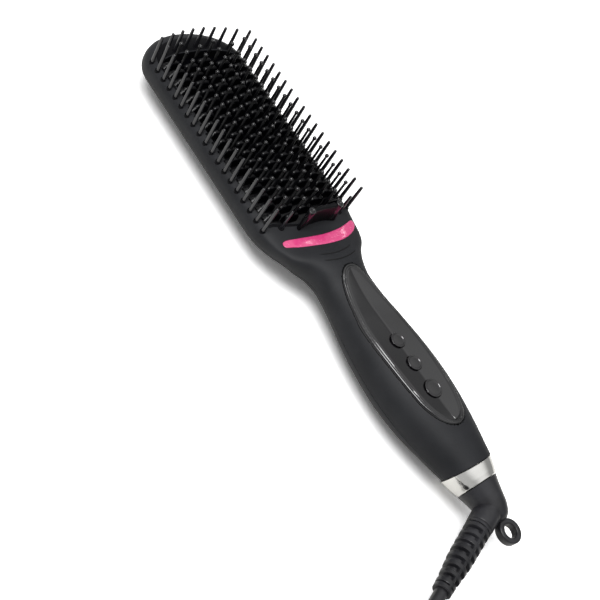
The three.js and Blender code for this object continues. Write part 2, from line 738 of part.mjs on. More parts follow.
function contactBlock() {
  const end = flangeTop - gap;
  const outer = ringBore - gap;
  return turned([[end - blockLength, blockBore], [end - blockLength, outer], [end, outer], [end, blockBore],
    [end - blockLength, blockBore]], capFace, 14);
}

// Sleeve with ribs round the cord, thinner towards its tip
function strainRelief() {
  const start = barrelLength + gap;
  const radiusAt = (along) => sleeveRadius + ((sleeveTip - sleeveRadius) * (along - start)) / sleeveLength;
  const rootRadius = socketRadius - gap;
  const profile = [[start - socketDepth + gap, 0], [start - socketDepth + gap, rootRadius],
    [start, rootRadius], [start, sleeveRadius]];
  const plain = 2;
  const pitch = (sleeveLength - 2 * plain) / ribCount;
  for (let k = 0; k < ribCount; k += 1) {
    const at = start + plain + k * pitch;
    profile.push([at, radiusAt(at)], [at + pitch / 2, radiusAt(at) - ribDepth]);
  }
  profile.push([start + sleeveLength, sleeveTip], [start + sleeveLength, 0]);
  return alongCord(profile, 8);
}

// The cord: down to the table, round the coil and on to the plug
const cordStart = bendPoint.clone().addScaledVector(cordWay, barrelLength + gap + sleeveLength + gap);
const floor = -restDepth + cordRadius;
const nearBend = (x, y, z) => new THREE.Vector3(x, bendY + y, z);
const coilCentre = nearBend(-52, -75, floor);

function tube(curve, steps, sides) {
  const ring = new THREE.Shape();
  for (let j = 0; j < sides; j += 1) {
    const angle = (2 * Math.PI * j) / sides;
    const corner = [cordRadius * Math.cos(angle), cordRadius * Math.sin(angle)];
    if (j === 0) ring.moveTo(...corner);
    else ring.lineTo(...corner);
  }
  ring.closePath();
  return solid(new THREE.ExtrudeGeometry(ring, { steps, extrudePath: curve }));
}

// Points of the coil's centre line: in on the lower layer, a climb, and out on the upper one
function coilPoint(turn) {
  const way = Math.min(turn, coilTurns - turn);
  const radius = coilRadius - turnPitch * way;
  const climb = Math.min(1, Math.max(0, 2 * turn - coilTurns + 0.5));
  const angle = THREE.MathUtils.degToRad(coilAngle) + 2 * Math.PI * turn;
  return new THREE.Vector3(coilCentre.x + radius * Math.cos(angle), coilCentre.y + radius * Math.sin(angle),
    coilCentre.z + turnPitch * climb);
}

const stepsPerTurn = 20;
const coilSteps = Math.ceil(stepsPerTurn * coilTurns);
const coilLine = [];
for (let i = 0; i <= coilSteps; i += 1) coilLine.push(coilPoint((coilTurns * i) / coilSteps));
const entryWay = coilLine[0].clone().sub(coilLine[1]).normalize();
const exitWay = coilLine[coilSteps].clone().sub(coilLine[coilSteps - 1]).normalize();
const coilIn = coilLine[0].clone().addScaledVector(entryWay, 2 * cordRadius);
const coilOut = coilLine[coilSteps].clone().addScaledVector(exitWay, 2 * cordRadius);

// Skin of a round tube carried along a list of points without twist
function tubeSkin(line, sides) {
  return solid(skin(line.map((point, i) => {
    const way = line[Math.min(line.length - 1, i + 1)].clone().sub(line[Math.max(0, i - 1)]).normalize();
    const side = new THREE.Vector3(0, 0, 1).cross(way).normalize();
    const up = way.clone().cross(side);
    const ring = [];
    for (let j = 0; j < sides; j += 1) {
      const angle = (2 * Math.PI * (j + 0.5)) / sides;
      ring.push(point.clone().addScaledVector(side, cordRadius * Math.cos(angle))
        .addScaledVector(up, cordRadius * Math.sin(angle)));
    }
    return ring;
  })));
}

function leastCoilGap() {
  let least = Infinity;
  for (let i = 0; i < coilLine.length; i += 1) {
    for (let j = i + stepsPerTurn / 2; j < coilLine.length; j += 1) {
      least = Math.min(least, coilLine[i].distanceTo(coilLine[j]) - 2 * cordRadius);
    }
  }
  return least;
}
console.log(`least gap between the coil's turns: ${leastCoilGap().toFixed(2)} mm`);

const plugWay = exitWay.clone().setZ(0).normalize();
const plugFace = coilOut.clone().addScaledVector(plugWay, plugReach).setZ(-restDepth + plugRadius);

function alongPlug(geometry) {
  const turn = new THREE.Quaternion().setFromUnitVectors(new THREE.Vector3(0, 1, 0), plugWay);
  return solid(geometry.applyQuaternion(turn).translate(plugFace.x, plugFace.y, plugFace.z));
}

function plugBody() {
  const profile = [[0, 0], [0, 4.4], [9, 5], [11, 8], [26, plugRadius], [plugLength, plugRadius],
    [plugLength, 0]];
  return alongPlug(new THREE.LatheGeometry(profile.map(([along, r]) => new THREE.Vector2(r, along)), 14));
}

function plugBlade(width, side) {
  const blade = new THREE.BoxGeometry(bladeThick, bladeLength, width);
  return alongPlug(blade.translate((side * bladeGap) / 2, plugLength + gap + bladeLength / 2, 0));
}

// Finishes
const finish = {
  shell: { color: 0x323234, roughness: 0.62, metalness: 0 },
  gloss: { color: 0x111113, roughness: 0.16, metalness: 0 },
  bristle: { color: 0x1c1c1f, roughness: 0.45, metalness: 0 },
  accent: { color: 0xd84680, roughness: 0.14, metalness: 0 },
  chrome: { color: 0xe6e6e4, roughness: 0.06, metalness: 1 },
  rubber: { color: 0x2c2c2e, roughness: 0.7, metalness: 0 },
  steel: { color: 0xb8bbc0, roughness: 0.35, metalness: 1 },
  board: { color: 0x2f6b43, roughness: 0.6, metalness: 0 },
  ceramic: { color: 0xd9d4c8, roughness: 0.7, metalness: 0 },
  brass: { color: 0xc9a457, roughness: 0.35, metalness: 1 },
};

const group = new THREE.Group();
const loopEnd = capFace - loopReach - loopRadius;
group.position.set(0, -(headEnd + loopEnd) / 2, restDepth);

function add(name, shape, look) {
  const mesh = new THREE.Mesh(geometryOf(shape), new THREE.MeshStandardMaterial(finish[look]));
  mesh.name = name;
  group.add(mesh);
}

// Head and handle
add('front_shell', frontShell(), 'shell');
add('rear_shell', rearShell(), 'shell');
add('heater_plate', heaterPlate(), 'gloss');
add('bristle_sheet', bristleSheet(), 'bristle');
add('bristle_frame', bristleFrame(), 'bristle');
add('end_guard', endGuard(), 'gloss');
add('accent_trim', accentTrim(), 'accent');
add('control_panel', controlPanel(), 'gloss');
for (const spec of buttons) {
  add(`button_${spec.name}`, button(spec), 'gloss');
  add(`switch_${spec.name}`, tactileSwitch(spec), 'steel');
}

const heaterFoot = fieldBottom + heaterMargin;
for (const [name, x] of [['heater_left', -heaterX], ['heater_right', heaterX]]) {
  const half = heaterWidth / 2;
  add(name, block(x - half, heaterFoot, heaterTop - heaterThick,
    x + half, heaterFoot + heaterLength, heaterTop), 'ceramic');
}
for (const [name, x] of [['thermal_fuse', sensorX], ['temperature_sensor', -sensorX]]) {
  const can = new THREE.CylinderGeometry(sensorRadius, sensorRadius, sensorLength, 8);
  add(name, solid(can.translate(x, 0, heaterTop - sensorRadius)), 'steel');
}
add('heat_shield', prism(roundedField(sheetHalf, sheetLowY, sheetHighY), shieldLow, shieldTop, 3), 'steel');
const board = (half, low, high, top) => block(-half, low, top - boardThick, half, high, top);
add('control_board', board(boardHalf, boardLow, boardHigh, boardTop), 'board');
add('power_board', board(powerHalf, powerLow, powerHigh, powerTop), 'board');
const capacitorY = (powerLow + powerHigh) / 2 - 8;
const capacitorLow = powerTop + gap;
add('power_capacitor', post(powerHalf / 3, capacitorY, capacitorLow, capacitorLow + capacitorHeight,
  capacitorRadius, 10), 'steel');
add('lead_live', lead(-1), 'rubber');
add('lead_neutral', lead(1), 'rubber');
screwPlaces.forEach((place, i) => add(`housing_screw_${i + 1}`, housingScrew(place), 'steel'));
add('end_ring', endRing(), 'chrome');
add('contact_block', contactBlock(), 'bristle');

// Swivel and cord
add('swivel_elbow', swivelElbow(), 'rubber');
add('contact_pin', contactPin(), 'brass');
add('strain_relief', strainRelief(), 'rubber');
const run = [cordStart, cordStart.clone().addScaledVector(cordWay, 8), nearBend(-68, -20.5, -8),
  nearBend(-75.3, -22.6, -10.4), nearBend(-82.1, -25.6, -13.8), nearBend(-87.2, -29.4, -16.7),
  nearBend(-91.8, -35, -19.4), nearBend(-95, -41.7, -21.2), coilIn.clone().addScaledVector(entryWay, 8),
  coilIn.clone().addScaledVector(entryWay, gap)];
add('cord_run', tube(new THREE.CatmullRomCurve3(run), 8, 8), 'rubber');
add('cord_coil', tubeSkin([coilIn, ...coilLine, coilOut], 6), 'rubber');
const tail = [coilOut.clone().addScaledVector(exitWay, gap),
  coilOut.clone().addScaledVector(plugWay, plugReach / 3),
  plugFace.clone().addScaledVector(plugWay, -plugReach / 3),
  plugFace.clone().addScaledVector(plugWay, -gap)];
add('cord_tail', tube(new THREE.CatmullRomCurve3(tail), 6, 8), 'rubber');
add('plug_body', plugBody(), 'rubber');
add('plug_blade_line', plugBlade(lineBladeWidth, -1), 'brass');
add('plug_blade_neutral', plugBlade(neutralBladeWidth, 1), 'brass');

export default group;
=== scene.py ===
import bmesh
import bpy
import numpy as np
from mathutils import Euler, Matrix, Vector


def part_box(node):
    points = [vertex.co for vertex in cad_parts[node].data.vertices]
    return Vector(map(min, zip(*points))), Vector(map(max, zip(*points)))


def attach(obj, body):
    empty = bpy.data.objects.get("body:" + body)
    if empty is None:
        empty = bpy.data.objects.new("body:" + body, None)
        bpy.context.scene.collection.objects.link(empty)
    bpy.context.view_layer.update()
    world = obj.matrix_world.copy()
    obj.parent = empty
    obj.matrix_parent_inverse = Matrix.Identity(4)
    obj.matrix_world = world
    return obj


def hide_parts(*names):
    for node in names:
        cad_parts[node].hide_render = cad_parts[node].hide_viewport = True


# Hair straightening brush in its studio. Lengths are in millimetres, as the part's own drawing has
# them: X across the head, +Y to its free end, +Z along the bristles, heights counted from the feet of
# the outer bristles. Every mesh is moved into the frame, in metres, as it is made.

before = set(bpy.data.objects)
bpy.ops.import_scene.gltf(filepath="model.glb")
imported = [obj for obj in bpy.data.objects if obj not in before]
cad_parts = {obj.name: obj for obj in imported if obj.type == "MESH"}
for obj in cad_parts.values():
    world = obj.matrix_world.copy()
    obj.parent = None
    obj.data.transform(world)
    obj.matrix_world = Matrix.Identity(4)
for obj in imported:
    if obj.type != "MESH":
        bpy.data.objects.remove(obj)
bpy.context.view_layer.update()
print("frame loaded:", len(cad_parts), "nodes")

headEnd = 77.0
restDepth = 25.0
frameShift = np.array([0.0, 1000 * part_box("rear_shell")[1].y - headEnd, restDepth])
join = np.concatenate


# Points of the drawing moved into the frame: shifted, then from millimetres to metres
def toFrame(points):
    return (np.asarray(points, float) + frameShift) / 1000


# Camera
camera = {"place": (-283.5, -203.2, 284.2), "turn": (36.107, -26.131, -35.996), "lens": 49.42}


def placeCamera():
    data = bpy.data.cameras.new("camera")
    data.lens = camera["lens"]
    data.sensor_width = 36
    data.clip_end = 20
    eye = bpy.data.objects.new("camera", data)
    eye.location = Vector(toFrame(camera["place"]))
    eye.rotation_euler = Euler(np.radians(camera["turn"]))
    bpy.context.scene.collection.objects.link(eye)
    bpy.context.scene.camera = eye


placeCamera()


# A piece from whole arrays: its points, and its faces as corner numbers, one array for each count of
# corners
def addPiece(name, points, faces, finish, stands=(), angle=40, body="housing"):
    mesh = bpy.data.meshes.new(name)
    places = toFrame(np.reshape(points, (-1, 3)))
    corners = join([np.ravel(part) for part in faces]).astype(np.int32)
    counts = join([np.full(len(part), np.shape(part)[1]) for part in faces])
    mesh.vertices.add(len(places))
    mesh.vertices.foreach_set("co", places.astype(np.float32).ravel())
    mesh.loops.add(len(corners))
    mesh.loops.foreach_set("vertex_index", corners)
    mesh.polygons.add(len(counts))
    mesh.polygons.foreach_set("loop_start", (np.cumsum(counts) - counts).astype(np.int32))
    mesh.update(calc_edges=True)
    mesh.validate()
    work = bmesh.new()
    work.from_mesh(mesh)
    bmesh.ops.remove_doubles(work, verts=work.verts, dist=2e-6)
    bmesh.ops.dissolve_degenerate(work, edges=work.edges, dist=1e-6)
    bmesh.ops.recalc_face_normals(work, faces=work.faces)
    work.to_mesh(mesh)
    work.free()
    mesh.shade_smooth()
    mesh.set_sharp_from_angle(angle=np.radians(angle))
    mesh.materials.append(finish)
    piece = bpy.data.objects.new(name, mesh)
    bpy.context.scene.collection.objects.link(piece)
    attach(piece, body)
    if stands:
        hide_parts(*stands)
    return piece


# Quads between the neighbours of a grid with rows and columns; the flags join its far edges
def gridFaces(rows, columns, wrapRows=False, wrapColumns=True):
    row = np.arange(rows if wrapRows else rows - 1)[:, None]
    column = np.arange(columns if wrapColumns else columns - 1)[None, :]
    nextRow = (row + 1) % rows
    nextColumn = (column + 1) % columns
    quads = [row * columns + column, row * columns + nextColumn, nextRow * columns + nextColumn,
             nextRow * columns + column]
    return np.stack(quads, -1).reshape(-1, 4)


# Flat lids over the first and last row of a grid
def lidFaces(rows, columns):
    return [np.arange(columns)[None] + row * columns for row in (0, rows - 1)]


# A grid of points whose columns close on themselves, as a ring, with lids or a last row joined to the first
def addGrid(name, grid, finish, stands=(), angle=40, body="housing", wrapRows=False, lids=False):
    rows, columns = grid.shape[:2]
    faces = [gridFaces(rows, columns, wrapRows)] + (lidFaces(rows, columns) if lids else [])
    return addPiece(name, grid, faces, finish, stands, angle, body)


# The same faces for many copies of a block of points
def repeatFaces(faces, count, size):
    return (faces[None] + size * np.arange(count)[:, None, None]).reshape(-1, faces.shape[1])


# Points from their coordinates, which may be grids, rows, columns or single numbers
def xyz(*parts):
    return np.stack(np.broadcast_arrays(*parts), -1)


def unit(vector):
    return vector / np.linalg.norm(vector)


def roundAngles(sides):
    return np.linspace(0, 2 * np.pi, sides, endpoint=False)


# 0 at the first value, 1 at the second, straight between them, and the same with eased ends
def ramp(value, low, high):
    return np.clip((value - low) / (high - low), 0, 1)


def easeStep(value, low, high):
    t = ramp(value, low, high)
    return t * t * (3 - 2 * t)


# Parabola from a point to another, whose ends point at a third
def parabola(t, start, control, end):
    return (1 - t) ** 2 * start + 2 * t * (1 - t) * control + t ** 2 * end


# Corners of a line of points rounded with parabolas that start `radius` away from each corner
def rounded(line, radius, steps=4):
    line = np.asarray(line, float)
    out = [line[:1]]
    t = np.linspace(0, 1, steps + 1)[:, None]
    for before, corner, after in zip(line[:-2], line[1:-1], line[2:]):
        back, on = before - corner, after - corner
        reach = min(radius, 0.45 * np.linalg.norm(back), 0.45 * np.linalg.norm(on))
        out.append(parabola(t, corner + unit(back) * reach, corner, corner + unit(on) * reach))
    return join(out + [line[-1:]])


# Chain of parabolas, each given by its control and its end
def quadChain(start, curves, steps=12):
    t = np.linspace(0, 1, steps + 1)[1:, None]
    out = [np.array([start], float)]
    for control, end in curves:
        out.append(parabola(t, out[-1][-1], np.array(control), np.array(end)))
    return join(out)


# Smooth line through points: cubics whose slope at a point runs from its last neighbour to its next
def smoothLine(points, steps):
    points = np.asarray(points, float)
    padded = join([[2 * points[0] - points[1]], points, [2 * points[-1] - points[-2]]])
    t = (np.arange(steps) / steps)[None, :, None]
    a, b, c, d = (padded[k:len(points) - 1 + k][:, None] for k in range(4))
    line = 0.5 * (2 * b + (c - a) * t + (2 * a - 5 * b + 4 * c - d) * t ** 2 + (3 * b - a - 3 * c + d) * t ** 3)
    return join([line.reshape(-1, points.shape[1]), points[-1:]])


# Profile of (distance along the axis, radius) turned about an axis: the circle stands on two
# directions square to the axis
def turnedPoints(profile, start, axis, sides=64):
    profile = np.asarray(profile, float)
    axis = unit(np.asarray(axis, float))
    side = unit(np.cross(axis, (0, 0, 1) if abs(axis[2]) < 0.9 else (0, 1, 0)))
    up = np.cross(axis, side)
    angle = roundAngles(sides)[None, :, None]
    circle = np.cos(angle) * side + np.sin(angle) * up
    return np.asarray(start) + profile[:, :1, None] * axis + profile[:, 1:, None] * circle


# Upright turned shapes: one profile of (height, radius) set at each place
def addUpright(name, profile, places, finish, stands=(), angle=60, sides=12, heights=0.0):
    profile = np.asarray(profile, float)
    turn = roundAngles(sides)
    shape = xyz(profile[:, 1:] * np.cos(turn), profile[:, 1:] * np.sin(turn), profile[:, :1])
    base = join([places, np.zeros((len(places), 1)) + np.reshape(heights, (-1, 1))], -1)
    faces = repeatFaces(gridFaces(len(profile), sides), len(places), len(profile) * sides)
    addPiece(name, base[:, None, None] + shape[None], [faces], finish, stands, angle)


# Shader maths: a socket with the usual operators, and one method for every other node
class Shade:
    def __init__(self, tree, socket=None):
        self.tree = tree
        self.socket = socket

    def node(self, kind, settings=None, inputs=None, output=0):
        made = self.tree.nodes.new(kind)
        for key, value in (settings or {}).items():
            setattr(made, key, value)
        for key, value in (inputs or {}).items():
            if isinstance(value, Shade):
                self.tree.links.new(value.socket, made.inputs[key])
            else:
                made.inputs[key].default_value = value
        return Shade(self.tree, made.outputs[output] if made.outputs else None)

    def math(self, operation, first, second=0.0):
        return self.node("ShaderNodeMath", {"operation": operation}, {0: first, 1: second})

    def __add__(self, other):
        return self.math("ADD", self, other)

    def __sub__(self, other):
        return self.math("SUBTRACT", self, other)

    def __rsub__(self, other):
        return self.math("SUBTRACT", other, self)

    def __mul__(self, other):
        return self.math("MULTIPLY", self, other)

    __radd__ = __add__
    __rmul__ = __mul__

    def size(self):
        return self.math("ABSOLUTE", self)

    # 0 below the low value, 1 above the high one, eased between them
    def step(self, low, high):
        settings = {"interpolation_type": "SMOOTHSTEP", "clamp": True}
        return self.node("ShaderNodeMapRange", settings, {0: self, 1: low, 2: high})

    # From one colour to another; three numbers are a colour as it looks on a screen
    def mixColour(self, *colours):
        first, second = (screen(*c) if isinstance(c, tuple) and len(c) == 3 else c for c in colours)
        inputs = {"Factor": self, 6: first, 7: second}
        return self.node("ShaderNodeMix", {"data_type": "RGBA"}, inputs, output=2)

    def mixShader(self, first, second):
        return self.node("ShaderNodeMixShader", None, {0: self, 1: first, 2: second})

    def place(self, scale=(1000, 1000, 1000), shift=(0, 0, 0)):
        where = self.node("ShaderNodeTexCoord", output=3)
        return self.node("ShaderNodeMapping", None, {"Vector": where, "Location": shift, "Scale": scale})

    def noise(self, scale, detail, vector=None):
        inputs = {"Vector": vector or self.place(), "Scale": scale, "Detail": detail, "Roughness": 0.55}
        return self.node("ShaderNodeTexNoise", None, inputs)

    def bump(self, height, strength, distance):
        inputs = {"Height": height, "Strength": strength, "Distance": distance}
        return self.node("ShaderNodeBump", None, inputs)

    def split(self, vector, axis):
        return self.node("ShaderNodeSeparateXYZ", None, {0: vector}, output=axis)


# A colour given as it looks on a screen, 0 to 255, as the linear value that the shader takes
def screen(red, green, blue):
    part = np.array([red, green, blue]) / 255
    linear = np.where(part <= 0.04045, part / 12.92, ((part + 0.055) / 1.055) ** 2.4)
    return (*linear.tolist(), 1.0)


# A finish: its look gives colour, roughness and relief, and the rest are the shader's own constants
def makeFinish(name, slot, look, *values, specular=0.5, metal=0.0, coat=0.0, coatRough=0.03):
    made = bpy.data.materials.new(name)
    made.use_nodes = True
    shader = made.node_tree.nodes["Principled BSDF"]
    constants = {"Specular IOR Level": specular, "Metallic": metal, "Coat Weight": coat,
                 "Coat Roughness": coatRough}
    for key, value in constants.items():
        shader.inputs[key].default_value = value
    for key, value in zip(("Base Color", "Roughness", "Normal"), look(Shade(made.node_tree), *values)):
        made.node_tree.links.new(value.socket, shader.inputs[key])
    return made


# Soft-touch lacquer over moulded plastic: faint clouding, a fine grain and two fine moulded lines that
# bow across the neck. The lines are coloured darker: painted shade in the grooves.
shellFinish = {"dark": (28, 29, 32), "light": (37, 38, 41), "grooveShade": (12, 12, 13), "grain": 2.6,
               "cloud": 0.06, "lines": (-82.7, -87.0), "bow": 0.018, "lineWidth": 0.5, "lineHalf": (9, 12)}


def shellLook(s):
    f = shellFinish
    cloud, grain = s.noise(f["cloud"], 4), s.noise(f["grain"], 2)
    where = s.place(shift=tuple(-frameShift))
    across, along, up = (s.split(where, axis) for axis in range(3))
    bowed = along - f["bow"] * across * across
    line = 0.0
    for start in f["lines"]:
        line = line + (1 - (bowed - start).size().step(0.15, f["lineWidth"]))
    line = line * up.step(0, 1.5) * (1 - across.size().step(*f["lineHalf"]))
    # Painted shade: the lines darken the tone and take the groove colour
    tone = (0.75 * cloud + 0.25 * grain).step(0.3, 0.7) * (1 - 0.6 * line)
    colour = line.mixColour(tone.mixColour(f["dark"], f["light"]), f["grooveShade"])
    return colour, 0.46 + 0.1 * cloud + 0.06 * grain, s.bump(grain * 0.1 - line, 0.5, 0.0004)


# Polished black plastic with faint flow marks and dust, more or less dull
glossFinish = {"colour": (9, 9, 11), "haze": (16, 16, 19), "flow": 0.12}


def glossLook(s, dull):
    flow = s.noise(glossFinish["flow"], 5)
    dust = s.noise(1.4, 2).step(0.62, 0.78)
    colour = flow.mixColour(glossFinish["colour"], glossFinish["haze"])
    return colour, 0.1 + dull + 0.1 * flow + 0.08 * dust, s.bump(flow, 0.3, 0.0002)


# Nylon of the bristles, a little lighter towards their tips: the darker roots are painted shade down in the
# field
def nylonLook(s, dark, light, rough):
    height = s.split(s.place(), 2).step(16, 44)
    streak = s.noise(0.9, 3)
    return height.mixColour(dark, light), rough - 0.06 * height + 0.06 * streak, s.bump(streak, 0.2, 0.0001)


# Plated ring with hairline turning marks round it
def chromeLook(s):
    hair = s.noise(1.0, 3, s.place((60, 2500, 60)))
    smudge = s.noise(0.12, 4)
    colour = smudge.mixColour((226, 225, 221), (243, 242, 239))
    return colour, 0.07 + 0.05 * hair + 0.06 * smudge, s.bump(hair, 0.08, 0.00005)


# The other finishes: a cloud, (scale, detail), clouds the roughness, (least, rise). The colour follows
# it as well, over the range given, or has specks of its own, and the relief follows it or its own grain.
def cloudLook(s, dark, light, cloud, rough, relief=(0.2, 0.0001), spread=None, specks=None, grain=None):
    cloud = s.noise(*cloud)
    tone = s.noise(*specks) if specks else cloud
    colour = (tone.step(*spread) if spread else tone).mixColour(dark, light)
    return colour, rough[0] + rough[1] * cloud, s.bump(s.noise(*grain) if grain else cloud, *relief)


vinyl = ((0.1, 4), (0.26, 0.14), (0.3, 0.00008), (0.35, 0.7), None, (1.8, 3))
shellBlack = makeFinish("shell soft touch", "shell", shellLook, specular=0.22)
glossBlack = makeFinish("gloss black", "gloss", glossLook, 0.0, coat=0.8, coatRough=0.05)
guardBlack = makeFinish("guard satin black", "gloss", glossLook, 0.24, specular=0.14)
lipBlack = makeFinish("field satin black", "gloss", glossLook, 0.25, specular=0.06)
plateGlaze = makeFinish("plate glaze", "gloss", cloudLook, (4, 4, 7), (10, 10, 14), (0.3, 4), (0.17, 0.12),
                        (0.3, 0.0002), (0.6, 0.75), (3.5, 2), specular=0.3)
bristleBlack = makeFinish("bristle nylon", "bristle", nylonLook, (20, 20, 24), (30, 30, 34), 0.3,
                          specular=0.6, coat=0.35, coatRough=0.15)
shaftBlack = makeFinish("bristle nylon dull", "bristle", nylonLook, (7, 7, 9), (14, 14, 16), 0.34, specular=0.3)
ballBlack = makeFinish("ball tip nylon", "bristle", nylonLook, (12, 12, 14), (20, 20, 23), 0.2,
                       specular=0.6, coat=0.3, coatRough=0.15)
accentPink = makeFinish("accent lacquer", "accent", cloudLook, (214, 60, 122), (224, 76, 136), (0.5, 5),
                        (0.2, 0.12), (0.2, 0.0001), (0.2, 0.8), coat=1.0, coatRough=0.1)
chrome = makeFinish("chrome plating", "chrome", chromeLook, metal=1.0)
rubberBlack = makeFinish("rubber black", "rubber", cloudLook, (24, 24, 27), (40, 40, 44), *vinyl)
cordBlack = makeFinish("cord vinyl", "rubber", cloudLook, (26, 26, 28), (38, 38, 41), *vinyl)
steel = makeFinish("screw steel", "steel", cloudLook, (150, 152, 156), (196, 198, 202), (0.8, 4), (0.25, 0.2),
                   metal=1.0)
brass = makeFinish("blade brass", "brass", cloudLook, (178, 142, 74), (214, 182, 110), (0.6, 4), (0.22, 0.18),
                   metal=1.0)
ceramic = makeFinish("heater ceramic", "ceramic", cloudLook, (205, 200, 188), (228, 224, 214), (0.5, 4),
                     (0.6, 0.2))
boardGreen = makeFinish("board green", "board", cloudLook, (34, 92, 56), (48, 116, 72), (0.4, 4), (0.4, 0.2))
print("finishes made")

# Outer body, by the part's own sizes
body = {
    "headHalf": 32.45, "headTop": 3.4, "headRound": 21.0, "base": -25.5, "foot": -57.15, "neckY": -98.0,
    "neckHalf": 16.0, "neckTop": 5.0, "gripLength": 105.9, "gripHalf": 22.4, "gripTop": 8.0,
    "gripMiddle": -8.6, "endHalf": 14.2, "endHeight": 12.9, "axis": -6.9, "slant": -0.13, "slantRun": 24.0,
    "parting": -8.5, "seam": 0.15, "wall": 1.2, "lower": 1.7, "upper": 2.1, "upperMore": 1.1, "upperRun": 32.0,
}
handleEnd = body["neckY"] - body["gripLength"]
# Opening of the bristle field; the shell's rows run straight over part of it and bow beyond
field = {"half": 26.4, "low": -60.5, "high": 58.6, "corner": 3.0, "sag": 6.0, "bow": 4.5, "plateTop": -1.8,
         "straightLow": -34.0, "straightHigh": 40.0, "bowEnd": -80.0}
screwPlaces = [(-9.0, headEnd - 8.5), (9.0, headEnd - 8.5), (0.0, body["neckY"] + 15), (0.0, handleEnd + 14.9)]
screwWell = {"radius": 2.6, "floor": -14.5, "below": -18.0, "near": 0.3, "rows": (-3.2, 3.3, 0.4)}
# Points round the shells' sections, and the step between the rows of the grip
shellGrid = {"flank": 26, "across": 67, "rear": 181, "frontStep": 0.75, "rearStep": 1.6}


# Stations along the body: length, half width, top, bottom and widest height. Those of the head, the
# neck and the grip are counted from its own half width and top and from the base.
def bodyStations():
    b = body
    head, neck, grip = (np.array([0, b[part + "Half"], b[part + "Top"], b["base"], 0])
                        for part in ("head", "neck", "grip"))
    gripY = [b["neckY"] - share * b["gripLength"] for share in (0.11, 0.25, 0.42, 0.57, 0.72, 0.86)]
    middle, end = b["gripMiddle"], b["axis"]
    return join([
        head + [(headEnd - b["headRound"], 0, -0.2, 0, -7.0), (b["foot"] + 37, 0, 0, 0, -7.0),
                (b["foot"] + 9, 0, -0.2, 0, -7.0), (b["foot"] - 0.9, -0.4, -1, 1.1, -6.2),
                (b["foot"] - 9, -2.4, -1.8, 2.7, -4.6), (b["foot"] - 16, -5, -1, 4.5, -2.6)],
        neck + [(b["neckY"] + 19, 8.6, -1.2, 5.3, -2.4), (b["neckY"] + 13, 3.4, 0.4, 5.1, -3.4),
                (b["neckY"] + 7, 0.5, 0.8, 4.6, -4.6), (b["neckY"], 0, 0, 4.3, -6.0),
                (gripY[0], 1.2, 0, 3.3, middle + 1.1)],
        grip + [(gripY[1], -2.8, -1.8, 1.5, middle), (gripY[2], -0.6, -0.5, 0, middle),
                (gripY[3], 0, 0, 0, middle), (gripY[4], -1.4, 0, 1.2, middle + 0.4),
                (gripY[5], -4.4, -0.7, 3.5, middle + 1.2)],
        [(handleEnd, b["endHalf"], end + b["endHeight"], end - b["endHeight"], end)]])


stations = bodyStations()


# One station value at any length: a cubic between stations with slopes from their neighbours
def stationValue(column, y):
    lengths, values = stations[:, 0], stations[:, column]
    i = np.clip(np.searchsorted(-lengths, -y, side="left") - 1, 0, len(lengths) - 2)
    before, after = np.maximum(i - 1, 0), np.minimum(i + 2, len(lengths) - 1)
    span = lengths[i] - lengths[i + 1]
    t = np.clip((lengths[i] - y) / span, 0, 1)
    slopeIn = (values[i + 1] - values[before]) / (lengths[before] - lengths[i + 1]) * span
    slopeOut = (values[after] - values[i]) / (lengths[i] - lengths[after]) * span
    return ((2 * t ** 3 - 3 * t ** 2 + 1) * values[i] + (t ** 3 - 2 * t ** 2 + t) * slopeIn
            + (3 * t ** 2 - 2 * t ** 3) * values[i + 1] + (t ** 3 - t ** 2) * slopeOut)


# Half width, top, bottom, widest height and the upper exponent of the section at a length; the
# free end closes as a quarter ellipse
def sectionAt(y):
    u = np.clip((y - headEnd + body["headRound"]) / body["headRound"], 0, 1)
    close = np.sqrt(1 - u * u)
    middle = stationValue(4, y)
    half = stationValue(1, y) * close
    top = middle + (stationValue(2, y) - middle) * (0.35 + 0.65 * close)
    bottom = middle + (stationValue(3, y) - middle) * (0.3 + 0.7 * close)
    upper = body["upper"] + body["upperMore"] * np.clip((y - body["neckY"]) / body["upperRun"], 0, 1)
    return half, top, bottom, middle, upper


# Height of the top of the body over a point: the upper half of the section, a superellipse
def topHeight(x, y):
    half, top, bottom, middle, upper = sectionAt(y)
    share = np.clip(np.abs(x) / np.maximum(half, 1e-6), 0, 1)
    return middle + (top - middle) * (1 - share ** upper) ** (1 / upper)


# How far the handle's slanted end moves a point along
def slantShift(y, z):
    t = np.clip((handleEnd + body["slantRun"] - y) / body["slantRun"], 0, 1)
    return body["slant"] * t ** 2 * (z - body["axis"])


# Angle round the section where it crosses a height on its right side
def crossingAngle(y, z):
    half, top, bottom, middle, upper = sectionAt(y)
    above = ramp(z, middle, top) ** (upper / 2)
    below = ramp(z, middle, bottom) ** (body["lower"] / 2)
    return np.where(z > middle, np.arcsin(above), -np.arcsin(below))


# Point of the section at an angle: powers of cosine and sine, fuller above the widest line
def sectionPoint(y, angle):
    half, top, bottom, middle, upper = sectionAt(y)
    c, s = np.cos(angle), np.sin(angle)
    power = 2 / np.where(s > 0, upper, body["lower"])
    x = half * np.sign(c) * np.abs(c) ** power
    z = middle + np.where(s > 0, top - middle, middle - bottom) * np.sign(s) * np.abs(s) ** power
    z = np.maximum(z, -restDepth)
    return xyz(x, y + slantShift(y, z), z)


